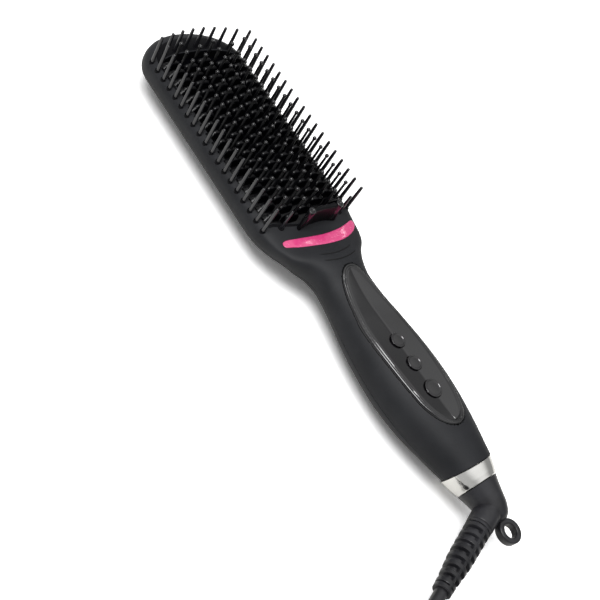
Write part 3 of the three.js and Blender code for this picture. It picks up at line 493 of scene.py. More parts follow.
# Control panel and its buttons. The shell drops to a ledge under the panel's edge and is open within.
panel = {"half": 15.0, "proud": 0.3, "top": body["neckY"] + 7, "low": handleEnd + 17.9, "dishLow": 2.6,
         "dishRise": 4.6, "sink": 1.2, "inset": 2.4, "step": 0.6, "seam": 0.3, "near": 0.34, "ledge": 3.4,
         "open": 1.7, "wellGap": 0.3, "wellDeep": 2.3, "wellNear": 0.22, "thick": 2.6, "steps": 110,
         "creaseDeep": 0.15, "creaseWide": 0.45, "topEase": (-4, 26), "easeOut": 0.8, "easeIn": 0.7}
panelRim = np.array([(0, -0.75), (0.2, -0.4), (0.5, -0.08), (0.85, 0.04), (1.2, -0.04), (1.5, -0.28),
                     (1.75, -0.4), (2.0, -0.3), (2.3, -0.22), (2.6, -0.3), (3.2, 0)])  # (inwards, lift)
buttons = [("upper", 49.2, 4.0), ("middle", 35.5, 4.0), ("lower", 20.4, 4.75)]  # (name, up, radius)


# Right side of the panel's outline: three cubic curves from its top to its foot
def panelSide():
    top, low, half = panel["top"], panel["low"], panel["half"]
    line = np.array([(0, top), (half * 0.62, top), (half * 0.72, top - 17), (half * 0.93, top - 31),
                     (half * 1.04, top - 44), (half, low + 32), (half * 0.86, low + 17),
                     (half * 0.72, low + 6), (half * 0.4, low), (0, low)])
    t = np.linspace(0, 1, panel["steps"])[:, None]
    parts = [(1 - t) ** 3 * c[0] + 3 * t * (1 - t) ** 2 * c[1] + 3 * t ** 2 * (1 - t) * c[2] + t ** 3 * c[3]
             for c in (line[:4], line[3:7], line[6:])]
    return join([parts[0], parts[1][1:], parts[2][1:]])


# Distance to the panel's outline, more than 0 inside it, and the way to there from its nearest point
def panelDistance(x, y):
    side = panelSide()
    edge = join([side, side * np.array([-1, 1])])
    awayX, awayY = x[..., None] - edge[:, 0], y[..., None] - edge[:, 1]
    nearest = (awayX ** 2 + awayY ** 2).argmin(-1)[..., None]
    away = xyz(*(np.take_along_axis(part, nearest, -1)[..., 0] for part in (awayX, awayY)))
    distance = np.linalg.norm(away, axis=-1)
    reach = np.interp(-y, -side[:, 1], side[:, 0], left=-1, right=-1)
    return np.where(np.abs(x) < reach, distance, -distance), away / np.maximum(distance, 1e-6)[..., None]


# How far the opening draws in at its free end, at each distance from the middle: a parabola from its
# side to its middle
def openingTop(x):
    t = np.linspace(0, 1, 200)
    across = (1 - t) ** 2 * field["half"] + 2 * t * (1 - t) * (field["half"] - 1)
    return np.interp(np.abs(x), across[::-1], (field["sag"] * (1 - t) ** 2)[::-1])


# The same at its other end: a rounded corner, and a bow that grows with the square of the distance
def openingLow(x):
    t = np.linspace(0, 1, 60)
    across = field["half"] - field["corner"] * t ** 2
    drawn = field["corner"] * (1 - t) ** 2
    bowed = field["bow"] * np.minimum(np.abs(x) / (field["half"] - field["corner"]), 1) ** 2
    return bowed + np.interp(np.abs(x), across[::-1], drawn[::-1], left=0.0)


# Lengths of the shells' rows: close together where the form turns fast, and always at the ends of the
# opening and of the handle
def rowLengths(gripStep, extra=()):
    fixed = [field["high"], field["low"], handleEnd]
    straightHigh, straightLow, neckLow = field["straightHigh"], field["straightLow"], -104
    closing = headEnd - body["headRound"] * (1 - np.sin(np.linspace(np.pi / 2, 0.13, 26)))
    parts = [closing, np.arange(field["high"] - 1.2, straightHigh, -1.2),
             np.arange(straightHigh, straightLow, -4.0), np.arange(straightLow, field["low"], -0.9),
             np.arange(field["low"] - 0.6, neckLow, -0.9), np.arange(neckLow, handleEnd, -gripStep), fixed,
             np.ravel(extra)]
    rows = np.unique(np.round(join(parts), 3))[::-1]
    keep = join([[True], np.diff(-rows) > 0.12])
    return rows[keep | np.isin(rows, fixed)]


# Wall of a shell, which grows inwards from its skin
def addWall(shell):
    wall = shell.modifiers.new("wall", "SOLIDIFY")
    wall.thickness = body["wall"] / 1000
    wall.offset = -1


# Front shell: its rows bow round the ends of the opening, its columns follow the opening's sides,
# and the faces over the field are left out. Points near the panel's outline move on to it, and those
# inside drop to a ledge under the panel's edge, within which the faces are left out as well.
def frontShell():
    high, low = field["high"], field["low"]
    rows = rowLengths(shellGrid["frontStep"])[:, None]
    flank = np.linspace(0, 1, shellGrid["flank"])
    across = np.linspace(1, -1, shellGrid["across"])[None, 1:-1]
    riseTop = ramp(rows, field["straightHigh"], high) * ramp(rows, headEnd, high)
    riseLow = ramp(rows, field["straightLow"], low) * ramp(rows, field["bowEnd"], low)
    edgeY = rows - riseTop * field["sag"] + riseLow * (field["corner"] + field["bow"])
    half, top, bottom, middle, upper = sectionAt(edgeY)
    ratio = np.where((rows <= high) & (rows >= low), field["half"] / np.maximum(half, 1),
                     field["half"] / body["headHalf"])
    x = across * ratio * half
    y = rows - riseTop * openingTop(x) + riseLow * openingLow(x)
    inside, way = panelDistance(x, y)
    off = inside + panel["seam"]
    shift = np.where(np.abs(off) < panel["near"], off * np.where(inside > 0, -1, 1), 0)
    x, y = x + way[..., 0] * shift, y + way[..., 1] * shift
    top = topHeight(x, y)
    midBand = xyz(x, y + slantShift(y, top), top - panel["ledge"] * (off >= panel["near"]))
    crossing = crossingAngle(edgeY, body["parting"] + body["seam"])
    edge = np.arccos(ratio ** (upper / 2))
    right = sectionPoint(edgeY, crossing + (edge - crossing) * flank)
    left = right[:, ::-1] * np.array([-1, 1, 1])
    points = join([right, midBand, left], 1)
    columns = points.shape[1]
    faces = gridFaces(len(rows), columns, wrapColumns=False).reshape(len(rows) - 1, columns - 1, 4)
    keep = np.ones(faces.shape[:2], bool)
    over = ((rows[:-1] <= high) & (rows[1:] >= low))[:, 0]
    keep[np.ix_(over, np.arange(len(flank) - 1, columns - len(flank)))] = False
    deep = np.pad(inside, ((0, 0), (len(flank), len(flank))), constant_values=-1) > panel["open"]
    keep &= ~(deep[:-1, :-1] & deep[1:, :-1] & deep[:-1, 1:] & deep[1:, 1:])
    addWall(addPiece("front_shell_skin", points, [faces[keep]], shellBlack, ["front_shell"]))


# Distance from a centre, which points lie near its circle, and their places moved on to it
def ontoCircle(places, centre, radius, near):
    away = places - np.array(centre)
    distance = np.maximum(np.linalg.norm(away, axis=-1), 1e-6)
    return distance, np.abs(distance - radius) < near, np.array(centre) + away / distance[..., None] * radius


# Rear shell with its screw wells: points near a well's rim move onto it, those inside drop to its floor
def rearShell():
    near = [place[1] + np.arange(*screwWell["rows"]) for place in screwPlaces]
    rows = rowLengths(shellGrid["rearStep"], near)[:, None]
    crossing = crossingAngle(rows, body["parting"] - body["seam"])
    turn = np.linspace(0, 1, shellGrid["rear"])[None]
    points = sectionPoint(rows + 0 * turn, crossing + turn * (-np.pi - 2 * crossing))
    for place in screwPlaces:
        distance, rim, moved = ontoCircle(points[..., :2], place, screwWell["radius"], screwWell["near"])
        under = points[..., 2] < screwWell["below"]
        points[rim & under, :2] = moved[rim & under]
        points[(distance < screwWell["radius"] - screwWell["near"]) & under, 2] = screwWell["floor"]
    faces = gridFaces(len(rows), shellGrid["rear"], wrapColumns=False)
    addWall(addPiece("rear_shell_skin", points, [faces], shellBlack, ["rear_shell"]))


frontShell()
rearShell()
print("shells made")


# Free cord: out of the relief, down to the table and round a neat coil to its plug
cord = {"radius": 3.0, "bendY": -225.0, "bendAngle": 73.0, "barrel": 14.6, "relief": 40.0, "gap": 0.3,
        "coilRadius": 47.1, "coilTurns": 7.32, "pitch": 6.5, "coilAngle": 165.0, "coilCentre": (-51.6, -300.0),
        "plugReach": 16.0, "plugLength": 34.0, "plugRadius": 10.0, "plugSwell": 9.9}
blade = {"length": 18.0, "thick": 1.5, "spacing": 12.7, "tip": 2.2}
plugRibs = {"deep": 0.35, "pitch": 2.6, "first": 15.0, "low": 13.0, "high": 24.0}
cordRun = [(-68, -20.5, -8), (-75.3, -22.6, -10.4), (-82.1, -25.6, -13.8), (-87.2, -29.4, -16.7),
           (-91.8, -35, -19.4), (-95, -41.7, -21.2)]
bendPoint = np.array([0.0, cord["bendY"], body["axis"]])
bend = np.radians(cord["bendAngle"])
cordWay = np.array([-np.sin(bend), -np.cos(bend), 0.0])
upWay = np.array([0, 0, 1])
flat = np.array([1, 1, 0])


# Centre line of the coil: in on the lower layer, a climb, and out on the upper one
def coilLine(steps):
    turn = np.linspace(0, cord["coilTurns"], steps)
    reach = cord["coilRadius"] - cord["pitch"] * np.minimum(turn, cord["coilTurns"] - turn)
    climb = easeStep(2 * turn - cord["coilTurns"] + 0.5, 0, 1)
    angle = np.radians(cord["coilAngle"]) + 2 * np.pi * turn
    x, y = cord["coilCentre"]
    cordFloor = -restDepth + cord["radius"] + 0.07
    return xyz(x + reach * np.cos(angle), y + reach * np.sin(angle), cordFloor + cord["pitch"] * climb)


coil = coilLine(int(30 * cord["coilTurns"]))
entryWay = unit(coil[0] - coil[1])
exitWay = unit(coil[-1] - coil[-2])
coilIn = coil[0] + 2 * cord["radius"] * entryWay
coilOut = coil[-1] + 2 * cord["radius"] * exitWay
plugWay = unit(exitWay * flat)
plugFace = (coilOut + cord["plugReach"] * plugWay) * flat + (cord["plugRadius"] - restDepth) * upWay


# Centre line of the whole cord: out of the relief, down to the table, round the coil and to the plug
def cordLine():
    start = bendPoint + cordWay * (cord["barrel"] + cord["gap"] + cord["relief"])
    run = [start, start + 8 * cordWay]
    run += [np.array([x, cord["bendY"] + y, z]) for x, y, z in cordRun]
    run += [coilIn + 8 * entryWay, coilIn]
    third = cord["plugReach"] / 3 * plugWay
    return join([smoothLine(run, 6)[:-1], smoothLine([coilIn, coil[0]], 3)[:-1], coil,
                 smoothLine([coil[-1] + 1e-3 * exitWay, coilOut], 3)[1:-1],
                 smoothLine([coilOut, coilOut + third, plugFace - third, plugFace], 5)])


# Round tube carried along a line: each circle stands square to the way through its neighbours
def tubePoints(line, radius, sides):
    way = np.gradient(line, axis=0)
    way = way / np.linalg.norm(way, axis=1)[:, None]
    side = np.cross(upWay, way)
    side = side / np.linalg.norm(side, axis=1)[:, None]
    up = np.cross(way, side)
    angle = roundAngles(sides)[None, :, None]
    return line[:, None] + radius * (np.cos(angle) * side[:, None] + np.sin(angle) * up[:, None])


# Plug: a moulded grip that swells from its neck, with finger ribs cut round it
def plugPoints():
    end, swell = cord["plugLength"], cord["plugSwell"]
    profile = rounded([(0.0, 0.01), (0.0, 4.3), (8.0, 4.9), (12.0, 8.2), (25.0, swell), (end - 1.0, swell),
                       (end, 9.2), (end, 0.01)], 1.6, 6)
    points = join([profile[:1], *[np.linspace(a, b, 6)[1:] for a, b in zip(profile[:-1], profile[1:])]])
    along = points[:, 0]
    r = plugRibs
    ribs = r["deep"] * np.clip(np.cos(2 * np.pi * (along - r["first"]) / r["pitch"]), 0, 1)
    ribs = ribs * ((along > r["low"]) & (along < r["high"]))
    points[:, 1] = np.maximum(points[:, 1] - ribs, 0.01)
    return turnedPoints(points, plugFace, plugWay, 48)


# Flat blade with a rounded tip and edges: an outline carried through its thickness
def bladePoints(width, side):
    length, neck = blade["length"], blade["length"] - blade["tip"]
    outline = [(0, -1), (neck, -1), (length, -0.45), (length, 0.45), (neck, 1), (0, 1)]
    outline = rounded(np.array(outline + outline[:1]) * np.array([1, width / 2]), 0.8, 4)[:-1]
    across = np.cross(upWay, plugWay)
    start = plugFace + plugWay * (cord["plugLength"] + cord["gap"]) + across * side * blade["spacing"] / 2
    centre = np.array([length / 2, 0])
    layers = []
    for offset, scale in ((-0.5, 0.0), (-0.5, 0.9), (-0.38, 1.0), (0.38, 1.0), (0.5, 0.9), (0.5, 0.0)):
        edge = (outline - centre) * scale
        layers.append(start + (centre + edge)[:, :1] * plugWay + edge[:, 1:] * upWay
                      + blade["thick"] * offset * across)
    return np.stack(layers)


def makeCord():
    line = cordLine()
    flex = addGrid("cord_flex", tubePoints(line, cord["radius"], 20), cordBlack,
                   ["cord_run", "cord_coil", "cord_tail"], 50, "cord_swivel", lids=True)
    plug = addGrid("plug_grip", plugPoints(), rubberBlack, ["plug_body"], body="cord_swivel")
    blades = [addGrid(name + "_plated", bladePoints(width, side), brass, [name], body="cord_swivel")
              for name, width, side in (("plug_blade_line", 6.3, -1), ("plug_blade_neutral", 7.9, 1))]


makeCord()


# Bristle field
bristles = {"length": 114.3, "outerCount": 19, "outerX": 29.65, "outerTip": 16.8, "outerRadius": 1.1,
            "endCount": 7, "endReach": 21.6, "endY": 61.8, "endSag": 2.8, "innerRows": 18, "firstY": 51.46,
            "pitch": 6.084, "sideX": 21.3, "midX": 10.97, "innerTip": 17.8, "innerRadius": 0.8, "ball": 1.15,
            "root": -6.0, "cornerX": 20.6, "cornerY": -59.6, "cornerTip": 15.0}


# Places of the outer bristles: an even row along each side and a bowed one across the free end
def outerPlaces():
    y = np.linspace(bristles["length"] / 2, -bristles["length"] / 2, bristles["outerCount"])
    share = np.linspace(-1, 1, bristles["endCount"])
    end = xyz(share * bristles["endReach"], bristles["endY"] - bristles["endSag"] * share ** 2)
    return join([xyz(-bristles["outerX"], y), xyz(bristles["outerX"], y), end])


# Places of the inner bristles: three columns, and two between them that stand half a step on
def innerPlaces():
    y = bristles["firstY"] - bristles["pitch"] * np.arange(bristles["innerRows"])
    columns = [xyz(x, y) for x in (-bristles["sideX"], 0.0, bristles["sideX"])]
    return join(columns + [xyz(x, y - bristles["pitch"] / 2) for x in (-bristles["midX"], bristles["midX"])])


# Tapered pins round the rim, and inside it straight shafts whose ball tips are part of a circle turned
def makeBristles():
    b = bristles
    tip, r, root = b["outerTip"], b["outerRadius"], b["root"]
    corners = np.array([(side * b["cornerX"], b["cornerY"]) for side in (-1, 1)])
    taper = [(root, 0.01), (root, r), (0.6, r), (tip - 5, r * 0.86), (tip - 0.7, r * 0.76),
             (tip - 0.25, r * 0.62), (tip - 0.05, r * 0.32), (tip, 0.01)]
    addUpright("outer_bristles", taper, outerPlaces(), bristleBlack, ["bristle_frame"])
    slim = [(z * b["cornerTip"] / tip if z > 0 else z, radius * 0.85) for z, radius in taper]
    addUpright("corner_bristles", slim, corners, bristleBlack)
    ball, tip, r = b["ball"], b["innerTip"], b["innerRadius"]
    shaft = [(root, 0.01), (root, r * 1.2), (2.0, r * 1.1), (9.0, r * 0.95), (tip - 1.7 * ball, r * 0.8),
             (tip - 1.4 * ball, 0.01)]
    addUpright("inner_bristles", shaft, innerPlaces(), shaftBlack, ["bristle_sheet"])
    turn = np.radians([-90, -58, -30, 0, 28, 55, 78, 90])
    head = xyz(tip - ball + ball * np.sin(turn), np.maximum(ball * np.cos(turn), 0.01))
    addUpright("ball_tips", head, innerPlaces(), ballBlack)
    # dark collars round the feet of the outer bristles: their dark colour is painted shade in the sockets
    places = join([outerPlaces(), corners])
    collar = [(-1.4, 1.6), (0.05, 1.65), (0.22, 1.5), (0.1, 1.2), (-0.6, 0.9)]
    addUpright("socket_shade_collars", collar, places, lipBlack, (), 50, 14, topHeight(places[:, 0], places[:, 1]))


# Heated plate: a flat slab under the rim with a ridge across it at each inner bristle. A ridge is a
# profile of (across the head, height) carried through its thickness and rounded over it. Those of the
# outer columns run out over the lip with a sloping end, where they are wider and flatter.
plate = {"half": 27.2, "lap": 0.8, "thick": 1.5, "ridgeThick": 2.7, "ridgeTop": 4.4, "root": -2.1, "sunk": 9,
         "endFrom": 3.6, "endRun": 1.2, "endWide": 0.4, "endFlat": 0.8}
ridgeSide = np.array([(-4.7, -2.1), (-4.7, 1.6), (-4.65, 2.1), (-4.5, 2.7), (-4.2, 3.25), (-3.8, 3.65),
                      (-3.2, 3.95), (-2.0, 4.25)])
outerSide = np.array([(-6.35, -2.1), (-6.35, 1.2), (-6.15, 1.5), (-5.95, 1.64), (-4.25, 2.6), (-4.05, 2.74),
                      (-3.4, 3.6), (-2.2, 4.2)])


# Outline of the plate and the opening: rounded corners and a bow at the low end, an arch at the high one
def plateOutline(half, low, high, sag=6.0):
    corner, bow = field["corner"], field["bow"]
    side = low + bow
    curves = [((-half, side), (-half + corner, side)), ((0, low - bow), (half - corner, side)),
              ((half, side), (half, side + corner)), ((half, 0), (half, high - sag)),
              ((half - 1, high), (0, high)), ((1 - half, high), (-half, high - sag))]
    return quadChain((-half, side + corner), curves, 14)


def makePlate():
    p = plate
    outline = plateOutline(p["half"], field["low"] - p["lap"], field["high"] + p["lap"])
    top, count = field["plateTop"], len(outline)
    slab = np.stack([join([outline * scale, np.full((count, 1), z)], 1)
                     for z, scale in ((top - p["thick"], 1.0), (top - 0.2, 1.0), (top, 0.993))])
    crest = [(0.0, p["ridgeTop"])]
    inner, left, right = (join([a, crest, b[::-1] * np.array([-1, 1])]) for a, b in
                          ((ridgeSide, ridgeSide), (outerSide, ridgeSide), (ridgeSide, outerSide)))
    lean = np.radians([-90, -90, -55, -20, 20, 55, 90, 90])[:, None]
    across = np.sin(lean) * p["ridgeThick"] / 2
    drop = p["ridgeThick"] / 2 * (1 - np.cos(lean)) + p["sunk"] * np.array([1, 0, 0, 0, 0, 0, 0, 1])[:, None]
    ridges = []
    for x, y in innerPlaces():
        profile = inner if abs(x) < bristles["sideX"] else left if x < 0 else right
        out = np.abs(profile[:, 0])
        end = np.clip((out - p["endFrom"]) / p["endRun"], 0, 1) * (out.max() > 5)
        height = np.maximum(profile[:, 1] - drop * (1 - p["endFlat"] * end), p["root"])
        ridges.append(xyz(x + profile[:, 0], y + across * (1 + p["endWide"] * end), height))
    ridges = np.stack(ridges)
    copies, rows, columns = ridges.shape[:3]
    ridgeFaces = repeatFaces(gridFaces(rows, columns, wrapColumns=False), copies, rows * columns) + 3 * count
    points = join([slab.reshape(-1, 3), ridges.reshape(-1, 3)])
    addPiece("plate_with_ridges", points, [gridFaces(3, count)] + lidFaces(3, count) + [ridgeFaces], plateGlaze,
             ["heater_plate"], 45)


# Lip that rolls from the shell's face down to the plate all round the opening, with a broad dark land
# beyond its far end: rings between the opening's outline and the lip's own. The first are at shares of
# the way out, the others at a distance from the opening, each lifted off the body by its own height.
lip = {"reach": 1.6, "overlap": 0.2, "high": 70.3, "sag": 18.0, "deep": 2.5,
       "shares": (1.0, 0.985, 0.94, 0.85, 0.7, 0.55, 0.4, 0.25), "near": (0.62, 0.35, 0.15, 0.04, 0.0),
       "lifts": (-0.4, 0.06, 0.1, 0.1, 0.1, 0.1, 0.1, 0.1, 0.03, -0.18, -0.5, -1.0, -1.5)}


def makeLip():
    over = lip["overlap"]
    outer = plateOutline(field["half"] + lip["reach"], field["low"] - lip["reach"], lip["high"], lip["sag"])
    inner = plateOutline(field["half"] - over, field["low"] + over, field["high"] - over)
    away = outer - inner
    reach = np.linalg.norm(away, axis=1)[:, None]
    flats = [inner + away * np.maximum(share, 0.9 / reach + 0.1 * share) for share in lip["shares"]]
    flats += [inner + away / reach * distance for distance in lip["near"]]
    rings = [join([edge, topHeight(edge[:, :1], edge[:, 1:]) + lift], 1)
             for edge, lift in zip(flats, lip["lifts"])]
    rings += [rings[-1] * flat + (field["plateTop"] - 0.1) * upWay,
              rings[0] * flat + (field["plateTop"] - lip["deep"]) * upWay]
    addGrid("field_lip", np.stack(rings), lipBlack, (), 45, wrapRows=True)


makeBristles()
makePlate()
makeLip()
print("bristle field made")


# Guard wall at the foot of the field, curved in plan: its outline stands on two flared feet with a horn
# over each, and its edges are rounded layer by layer
guard = {"middle": 1.0, "foot": 13.0, "horn": 9.6, "top": 14.3, "dip": 0.8, "thick": 2.6, "y": -60.6,
         "curve": 2.2, "root": -3.0, "knob": 2.0, "knobX": 9.8, "knobTop": 15.1, "knobFoot": 3.0}
guardLayers = np.array([(-1, 1.1), (-0.9, 0.5), (-0.65, 0.14), (-0.3, 0), (0.3, 0), (0.65, 0.14), (0.9, 0.5),
                        (1, 1.1)])  # (share of half the thickness, inset)


# Where the guard stands along the head: it curves back with the square of the distance from its middle
def guardWay(x):
    return guard["y"] - guard["curve"] * (np.abs(x) / guard["foot"]) ** 2


def makeGuard():
    g = guard
    foot, horn, top = g["foot"], g["horn"], g["top"]
    curves = [((horn * 0.55, top - g["dip"]), (horn * 0.75, top - 0.25)),
              ((horn * 0.9, top + 0.1), (horn + 0.6, top - 0.5)),
              ((horn + 1.5, top - 1.2), (horn + 1.9, top - 4)), ((foot, top * 0.45), (foot + 0.4, g["root"]))]
    half = quadChain((0, top - g["dip"]), curves, 9)
    line = join([half[::-1], half[1:] * np.array([-1, 1])])
    offset, inset = guardLayers[:, :1], guardLayers[:, 1:]
    x = line[:, 0] * (1 - inset / foot)
    z = line[:, 1] - inset * np.clip(line[:, 1] / 8, 0, 1)
    rim = xyz(g["middle"] + x, guardWay(x) + offset * g["thick"] / 2, z)
    # the wall's two faces hang from the rim's outer rings down to its foot, where a strip closes it
    fall = np.linspace(0, 1, 7)[:, None, None]
    base = flat * rim + g["root"] * upWay
    grids = [rim, rim[0] * (1 - fall) + base[0] * fall, rim[-1] * (1 - fall) + base[-1] * fall, base]
    starts = np.cumsum([0] + [grid.shape[0] * grid.shape[1] for grid in grids])
    faces = [gridFaces(*grid.shape[:2], wrapColumns=False) + start for grid, start in zip(grids, starts)]
    addPiece("guard_arch", join([grid.reshape(-1, 3) for grid in grids]), faces, guardBlack, ["end_guard"], 35)
    # a short round knob with a hollow top on each horn
    r, top, low = g["knob"], g["knobTop"], g["knobFoot"]
    knob = rounded([(low, 0.01), (low, r * 0.8), (top - 1.5, r), (top, r), (top, r * 0.55),
                    (top - 0.5, r * 0.4), (top - 0.5, 0.01)], 0.5, 4)
    places = np.array([(g["middle"] + side * g["knobX"], guardWay(g["knobX"])) for side in (-1, 1)])
    addUpright("guard_knobs", knob, places, ballBlack, (), 45, 24)


# Accent: a band between its upper and lower edge, rounded at its left end, laid on the body and a
# little proud of it. Its section goes from the lower edge (-1) to the upper (1) and back below.
accent = {"proud": 0.35, "steps": 7}
accentUpper = [(-24.9, -68.5), (-24.5, -67.5), (-23.4, -66.9), (-21.2, -66.85), (-16.5, -67.6), (-8.4, -68.7),
               (2.2, -69.6), (12.2, -69.0), (19.3, -67.5), (24.5, -65.9), (26.4, -66.0), (27.0, -67.4)]
accentLower = [(-24.9, -68.7), (-24.7, -69.8), (-23.7, -70.7), (-20.5, -71.9), (-15.6, -73.4), (-2.9, -75.7),
               (7.2, -76.3), (13.0, -75.6), (18.0, -74.1), (22.5, -72.0), (25.6, -69.6), (27.0, -67.6)]
accentSection = np.array([(-1, -1), (-1, -0.4), (-1, 0), (-0.985, 0.5), (-0.93, 0.85), (-0.8, 1), (-0.4, 1),
                          (0, 1), (0.4, 1), (0.8, 1), (0.93, 0.85), (0.985, 0.5), (1, 0), (1, -0.4), (1, -1),
                          (0.4, -1), (-0.4, -1)])


def makeAccent():
    upper, lower = (smoothLine(edge, accent["steps"]) for edge in (accentUpper, accentLower))
    t, lift = accentSection[None, :, :1], accentSection[None, :, 1]
    x, y = np.moveaxis(upper[:, None] * (1 + t) / 2 + lower[:, None] * (1 - t) / 2, -1, 0)
    z = topHeight(x, y) + np.where(lift > 0, accent["proud"] * lift, lift)
    addGrid("accent_swoosh", xyz(x, y, z), accentPink, ["accent_trim"], 35, lids=True)


makeGuard()
makeAccent()


# Bottom of the panel's valley, which rises towards the handle's end
def creaseHeight(y):
    return panel["dishLow"] + panel["dishRise"] * (panel["top"] - y) / (panel["top"] - panel["low"])


# Panel: follows the body a little proud of it, rounds off at its edge and sinks to a leaf-shaped
# valley inside, with a well for each button
def makePanel():
    p = panel
    side = panelSide()
    places = xyz(side[:, :1] * np.linspace(-1, 1, 95), side[:, 1:])
    for _, up, radius in buttons:
        _, rim, moved = ontoCircle(places, (0, p["low"] + up), radius + p["wellGap"], p["wellNear"])
        places = np.where(rim[..., None], moved, places)
    x, y = places[..., 0], places[..., 1]
    gapToEdge = np.abs(panelDistance(x, y)[0])
    skin = topHeight(x, y) + p["proud"]
    crease = creaseHeight(y) - p["sink"]
    reach = np.maximum(side[:, :1] - p["inset"] - 0.6, 1.0)
    rim = topHeight(reach, y) + p["proud"] - p["step"]
    valley = crease + (rim - crease) * np.sqrt(x * x + 0.02) / reach
    valley = valley - p["creaseDeep"] * np.exp(-(x / p["creaseWide"]) ** 2)
    deep = np.maximum(skin - valley, 0) * easeStep(p["top"] - y, *p["topEase"])
    z = skin - deep * easeStep(gapToEdge, p["inset"] - p["easeOut"], p["inset"] + p["easeIn"])
    z = z + np.interp(gapToEdge, panelRim[:, 0], panelRim[:, 1])
    for _, up, radius in buttons:
        inWell = np.hypot(x, y - p["low"] - up) < radius + 0.05
        z = np.where(inWell, creaseHeight(p["low"] + up) - p["wellDeep"], z)
    under = xyz(x, y, np.minimum(skin - p["thick"], z - 0.8))
    addGrid("panel_inlay", join([xyz(x, y, z), under[:, ::-1]], 1), glossBlack, ["control_panel"])


# Buttons: a cap with a raised rim round a shallow hollow, on a stem
button = {"face": 0.1, "skirt": -0.7, "foot": -3.6, "stem": 1.3}


def makeButtons():
    face, skirt, foot, stem = (button[key] for key in ("face", "skirt", "foot", "stem"))
    for name, up, radius in buttons:
        y = panel["low"] + up
        profile = [(foot, 0.01), (foot, stem), (skirt, stem), (skirt, radius), (face - 0.1, radius),
                   (face, radius - 0.25), (face, radius - 0.6), (face - 0.3, radius - 1.0),
                   (face - 0.22, radius * 0.4), (face - 0.2, 0.01)]
        cap = turnedPoints(rounded(profile, 0.18, 4), (0, y, creaseHeight(y)), (0, 0, 1))
        addGrid(f"button_{name}_cap", cap, glossBlack, [f"button_{name}"], 50, f"button_{name}")


makePanel()
makeButtons()
print("panel made")

# Chrome ring: rings of an ellipse that starts along the slanted end and comes round and square
ring = {"length": 9.2, "endRadius": 11.0, "edge": 0.5, "lip": 7.4, "bore": 9.2, "gap": 0.3}


def makeRing():
    outer = rounded([(0.0, 0.0), (0.34, 0.3), (0.7, 0.66), (0.95, 1.0), (1.0, 1.0)], 0.12, 5)
    share = join([[0.0, 0.012, 0.04], outer[1:-2, 0], [0.965, 0.99, 1.0]])
    t = np.interp(share, outer[:, 0], outer[:, 1])
    trim = join([[ring["edge"], 0.16, 0.0], np.zeros(len(outer) - 3), [0.05, 0.2, ring["edge"]]])
    angle = roundAngles(72)
    inner = [ring["lip"], ring["lip"], ring["bore"], ring["bore"]]
    halfX, halfZ = (join([body[key] + (ring["endRadius"] - body[key]) * t - trim, inner])[:, None]
                    for key in ("endHalf", "endHeight"))
    share = join([share, [1.0, 0.6, 0.6, 0.0]])[:, None]
    z = halfZ * np.sin(angle)
    y = handleEnd - ring["gap"] - share * ring["length"] + body["slant"] * (1 - share) * z
    grid = xyz(halfX * np.cos(angle), y, body["axis"] + z)
    addGrid("ring_chrome", grid, chrome, ["end_ring"], 30, wrapRows=True)


# Elbow: a cap that rounds off behind the ring, a barrel for the cord and a flat loop to hang it by
elbow = {"capRadius": 10.7, "capTip": 7.4, "capLength": 20.0, "journal": 7.0, "flange": 8.8,
         "barrelRadius": 6.7, "socket": 4.7, "loopY": 25.2, "loopRadius": 6.1, "loopHole": 3.4,
         "loopThick": 4.6, "neckY": 14.5, "neckIn": 4.6}


def addElbow(name, grid, stands=(), **ends):
    addGrid(name, grid, rubberBlack, stands, body="cord_swivel", **ends)


def makeElbow():
    e = elbow
    face = handleEnd - ring["gap"] - ring["length"]
    length, tip, flange, journal = e["capLength"], e["capTip"], e["flange"], e["journal"]
    profile = [(-6.1, 0.01), (-6.1, flange), (-3.9, flange), (-3.9, journal), (0.3, journal),
               (0.3, e["capRadius"]), (4, e["capRadius"] - 1.1), (14, tip), (18, tip - 2), (length, tip - 4.6),
               (length, 0.01)]
    cap = join([rounded(profile[:6], 0.3, 3)[:-1], rounded(profile[5:], 2.4, 7)])
    addElbow("elbow_cap", turnedPoints(cap, (0, face, body["axis"]), (0, -1, 0)), ["swivel_elbow"])
    r, length, socket = e["barrelRadius"], cord["barrel"], e["socket"]
    barrel = rounded([(-5, 0.01), (-5, r - 1.2), (0, r), (length, r - 0.4), (length, socket),
                      (length - 6, socket), (length - 6, 0.01)], 0.7, 4)
    addElbow("elbow_barrel", turnedPoints(barrel, bendPoint, cordWay))
    turn = roundAngles(64)[:, None]
    wide = (e["loopRadius"] - e["loopHole"]) / 2
    high = e["loopThick"] / 2
    corners = [(-wide, 0), (-wide, high), (wide, high), (wide, -high), (-wide, -high), (-wide, 0)]
    loop = rounded(corners, 0.8, 4)[:-1]
    reach = (e["loopRadius"] + e["loopHole"]) / 2 + loop[None, :, 0]
    addElbow("hang_loop", xyz(reach * np.cos(turn), face - e["loopY"] + reach * np.sin(turn),
                              body["axis"] + loop[None, :, 1]), wrapRows=True)
    # neck between the elbow and the loop: an oval section that swells into the cap
    along = np.linspace(0, 1, 9)[:, None]
    around = roundAngles(28)[None]
    halfX = 2.5 + 2.6 * (1 - along) ** 2 + 0.7 * along ** 3
    halfZ = 2.1 + 1.2 * (1 - along) ** 2
    y = face - e["neckY"] - (e["loopY"] - e["neckY"] - e["neckIn"]) * along
    up = np.sign(np.sin(around)) * np.abs(np.sin(around)) ** 0.6
    addElbow("loop_neck", xyz(halfX * np.cos(around), y, body["axis"] + halfZ * up), lids=True)


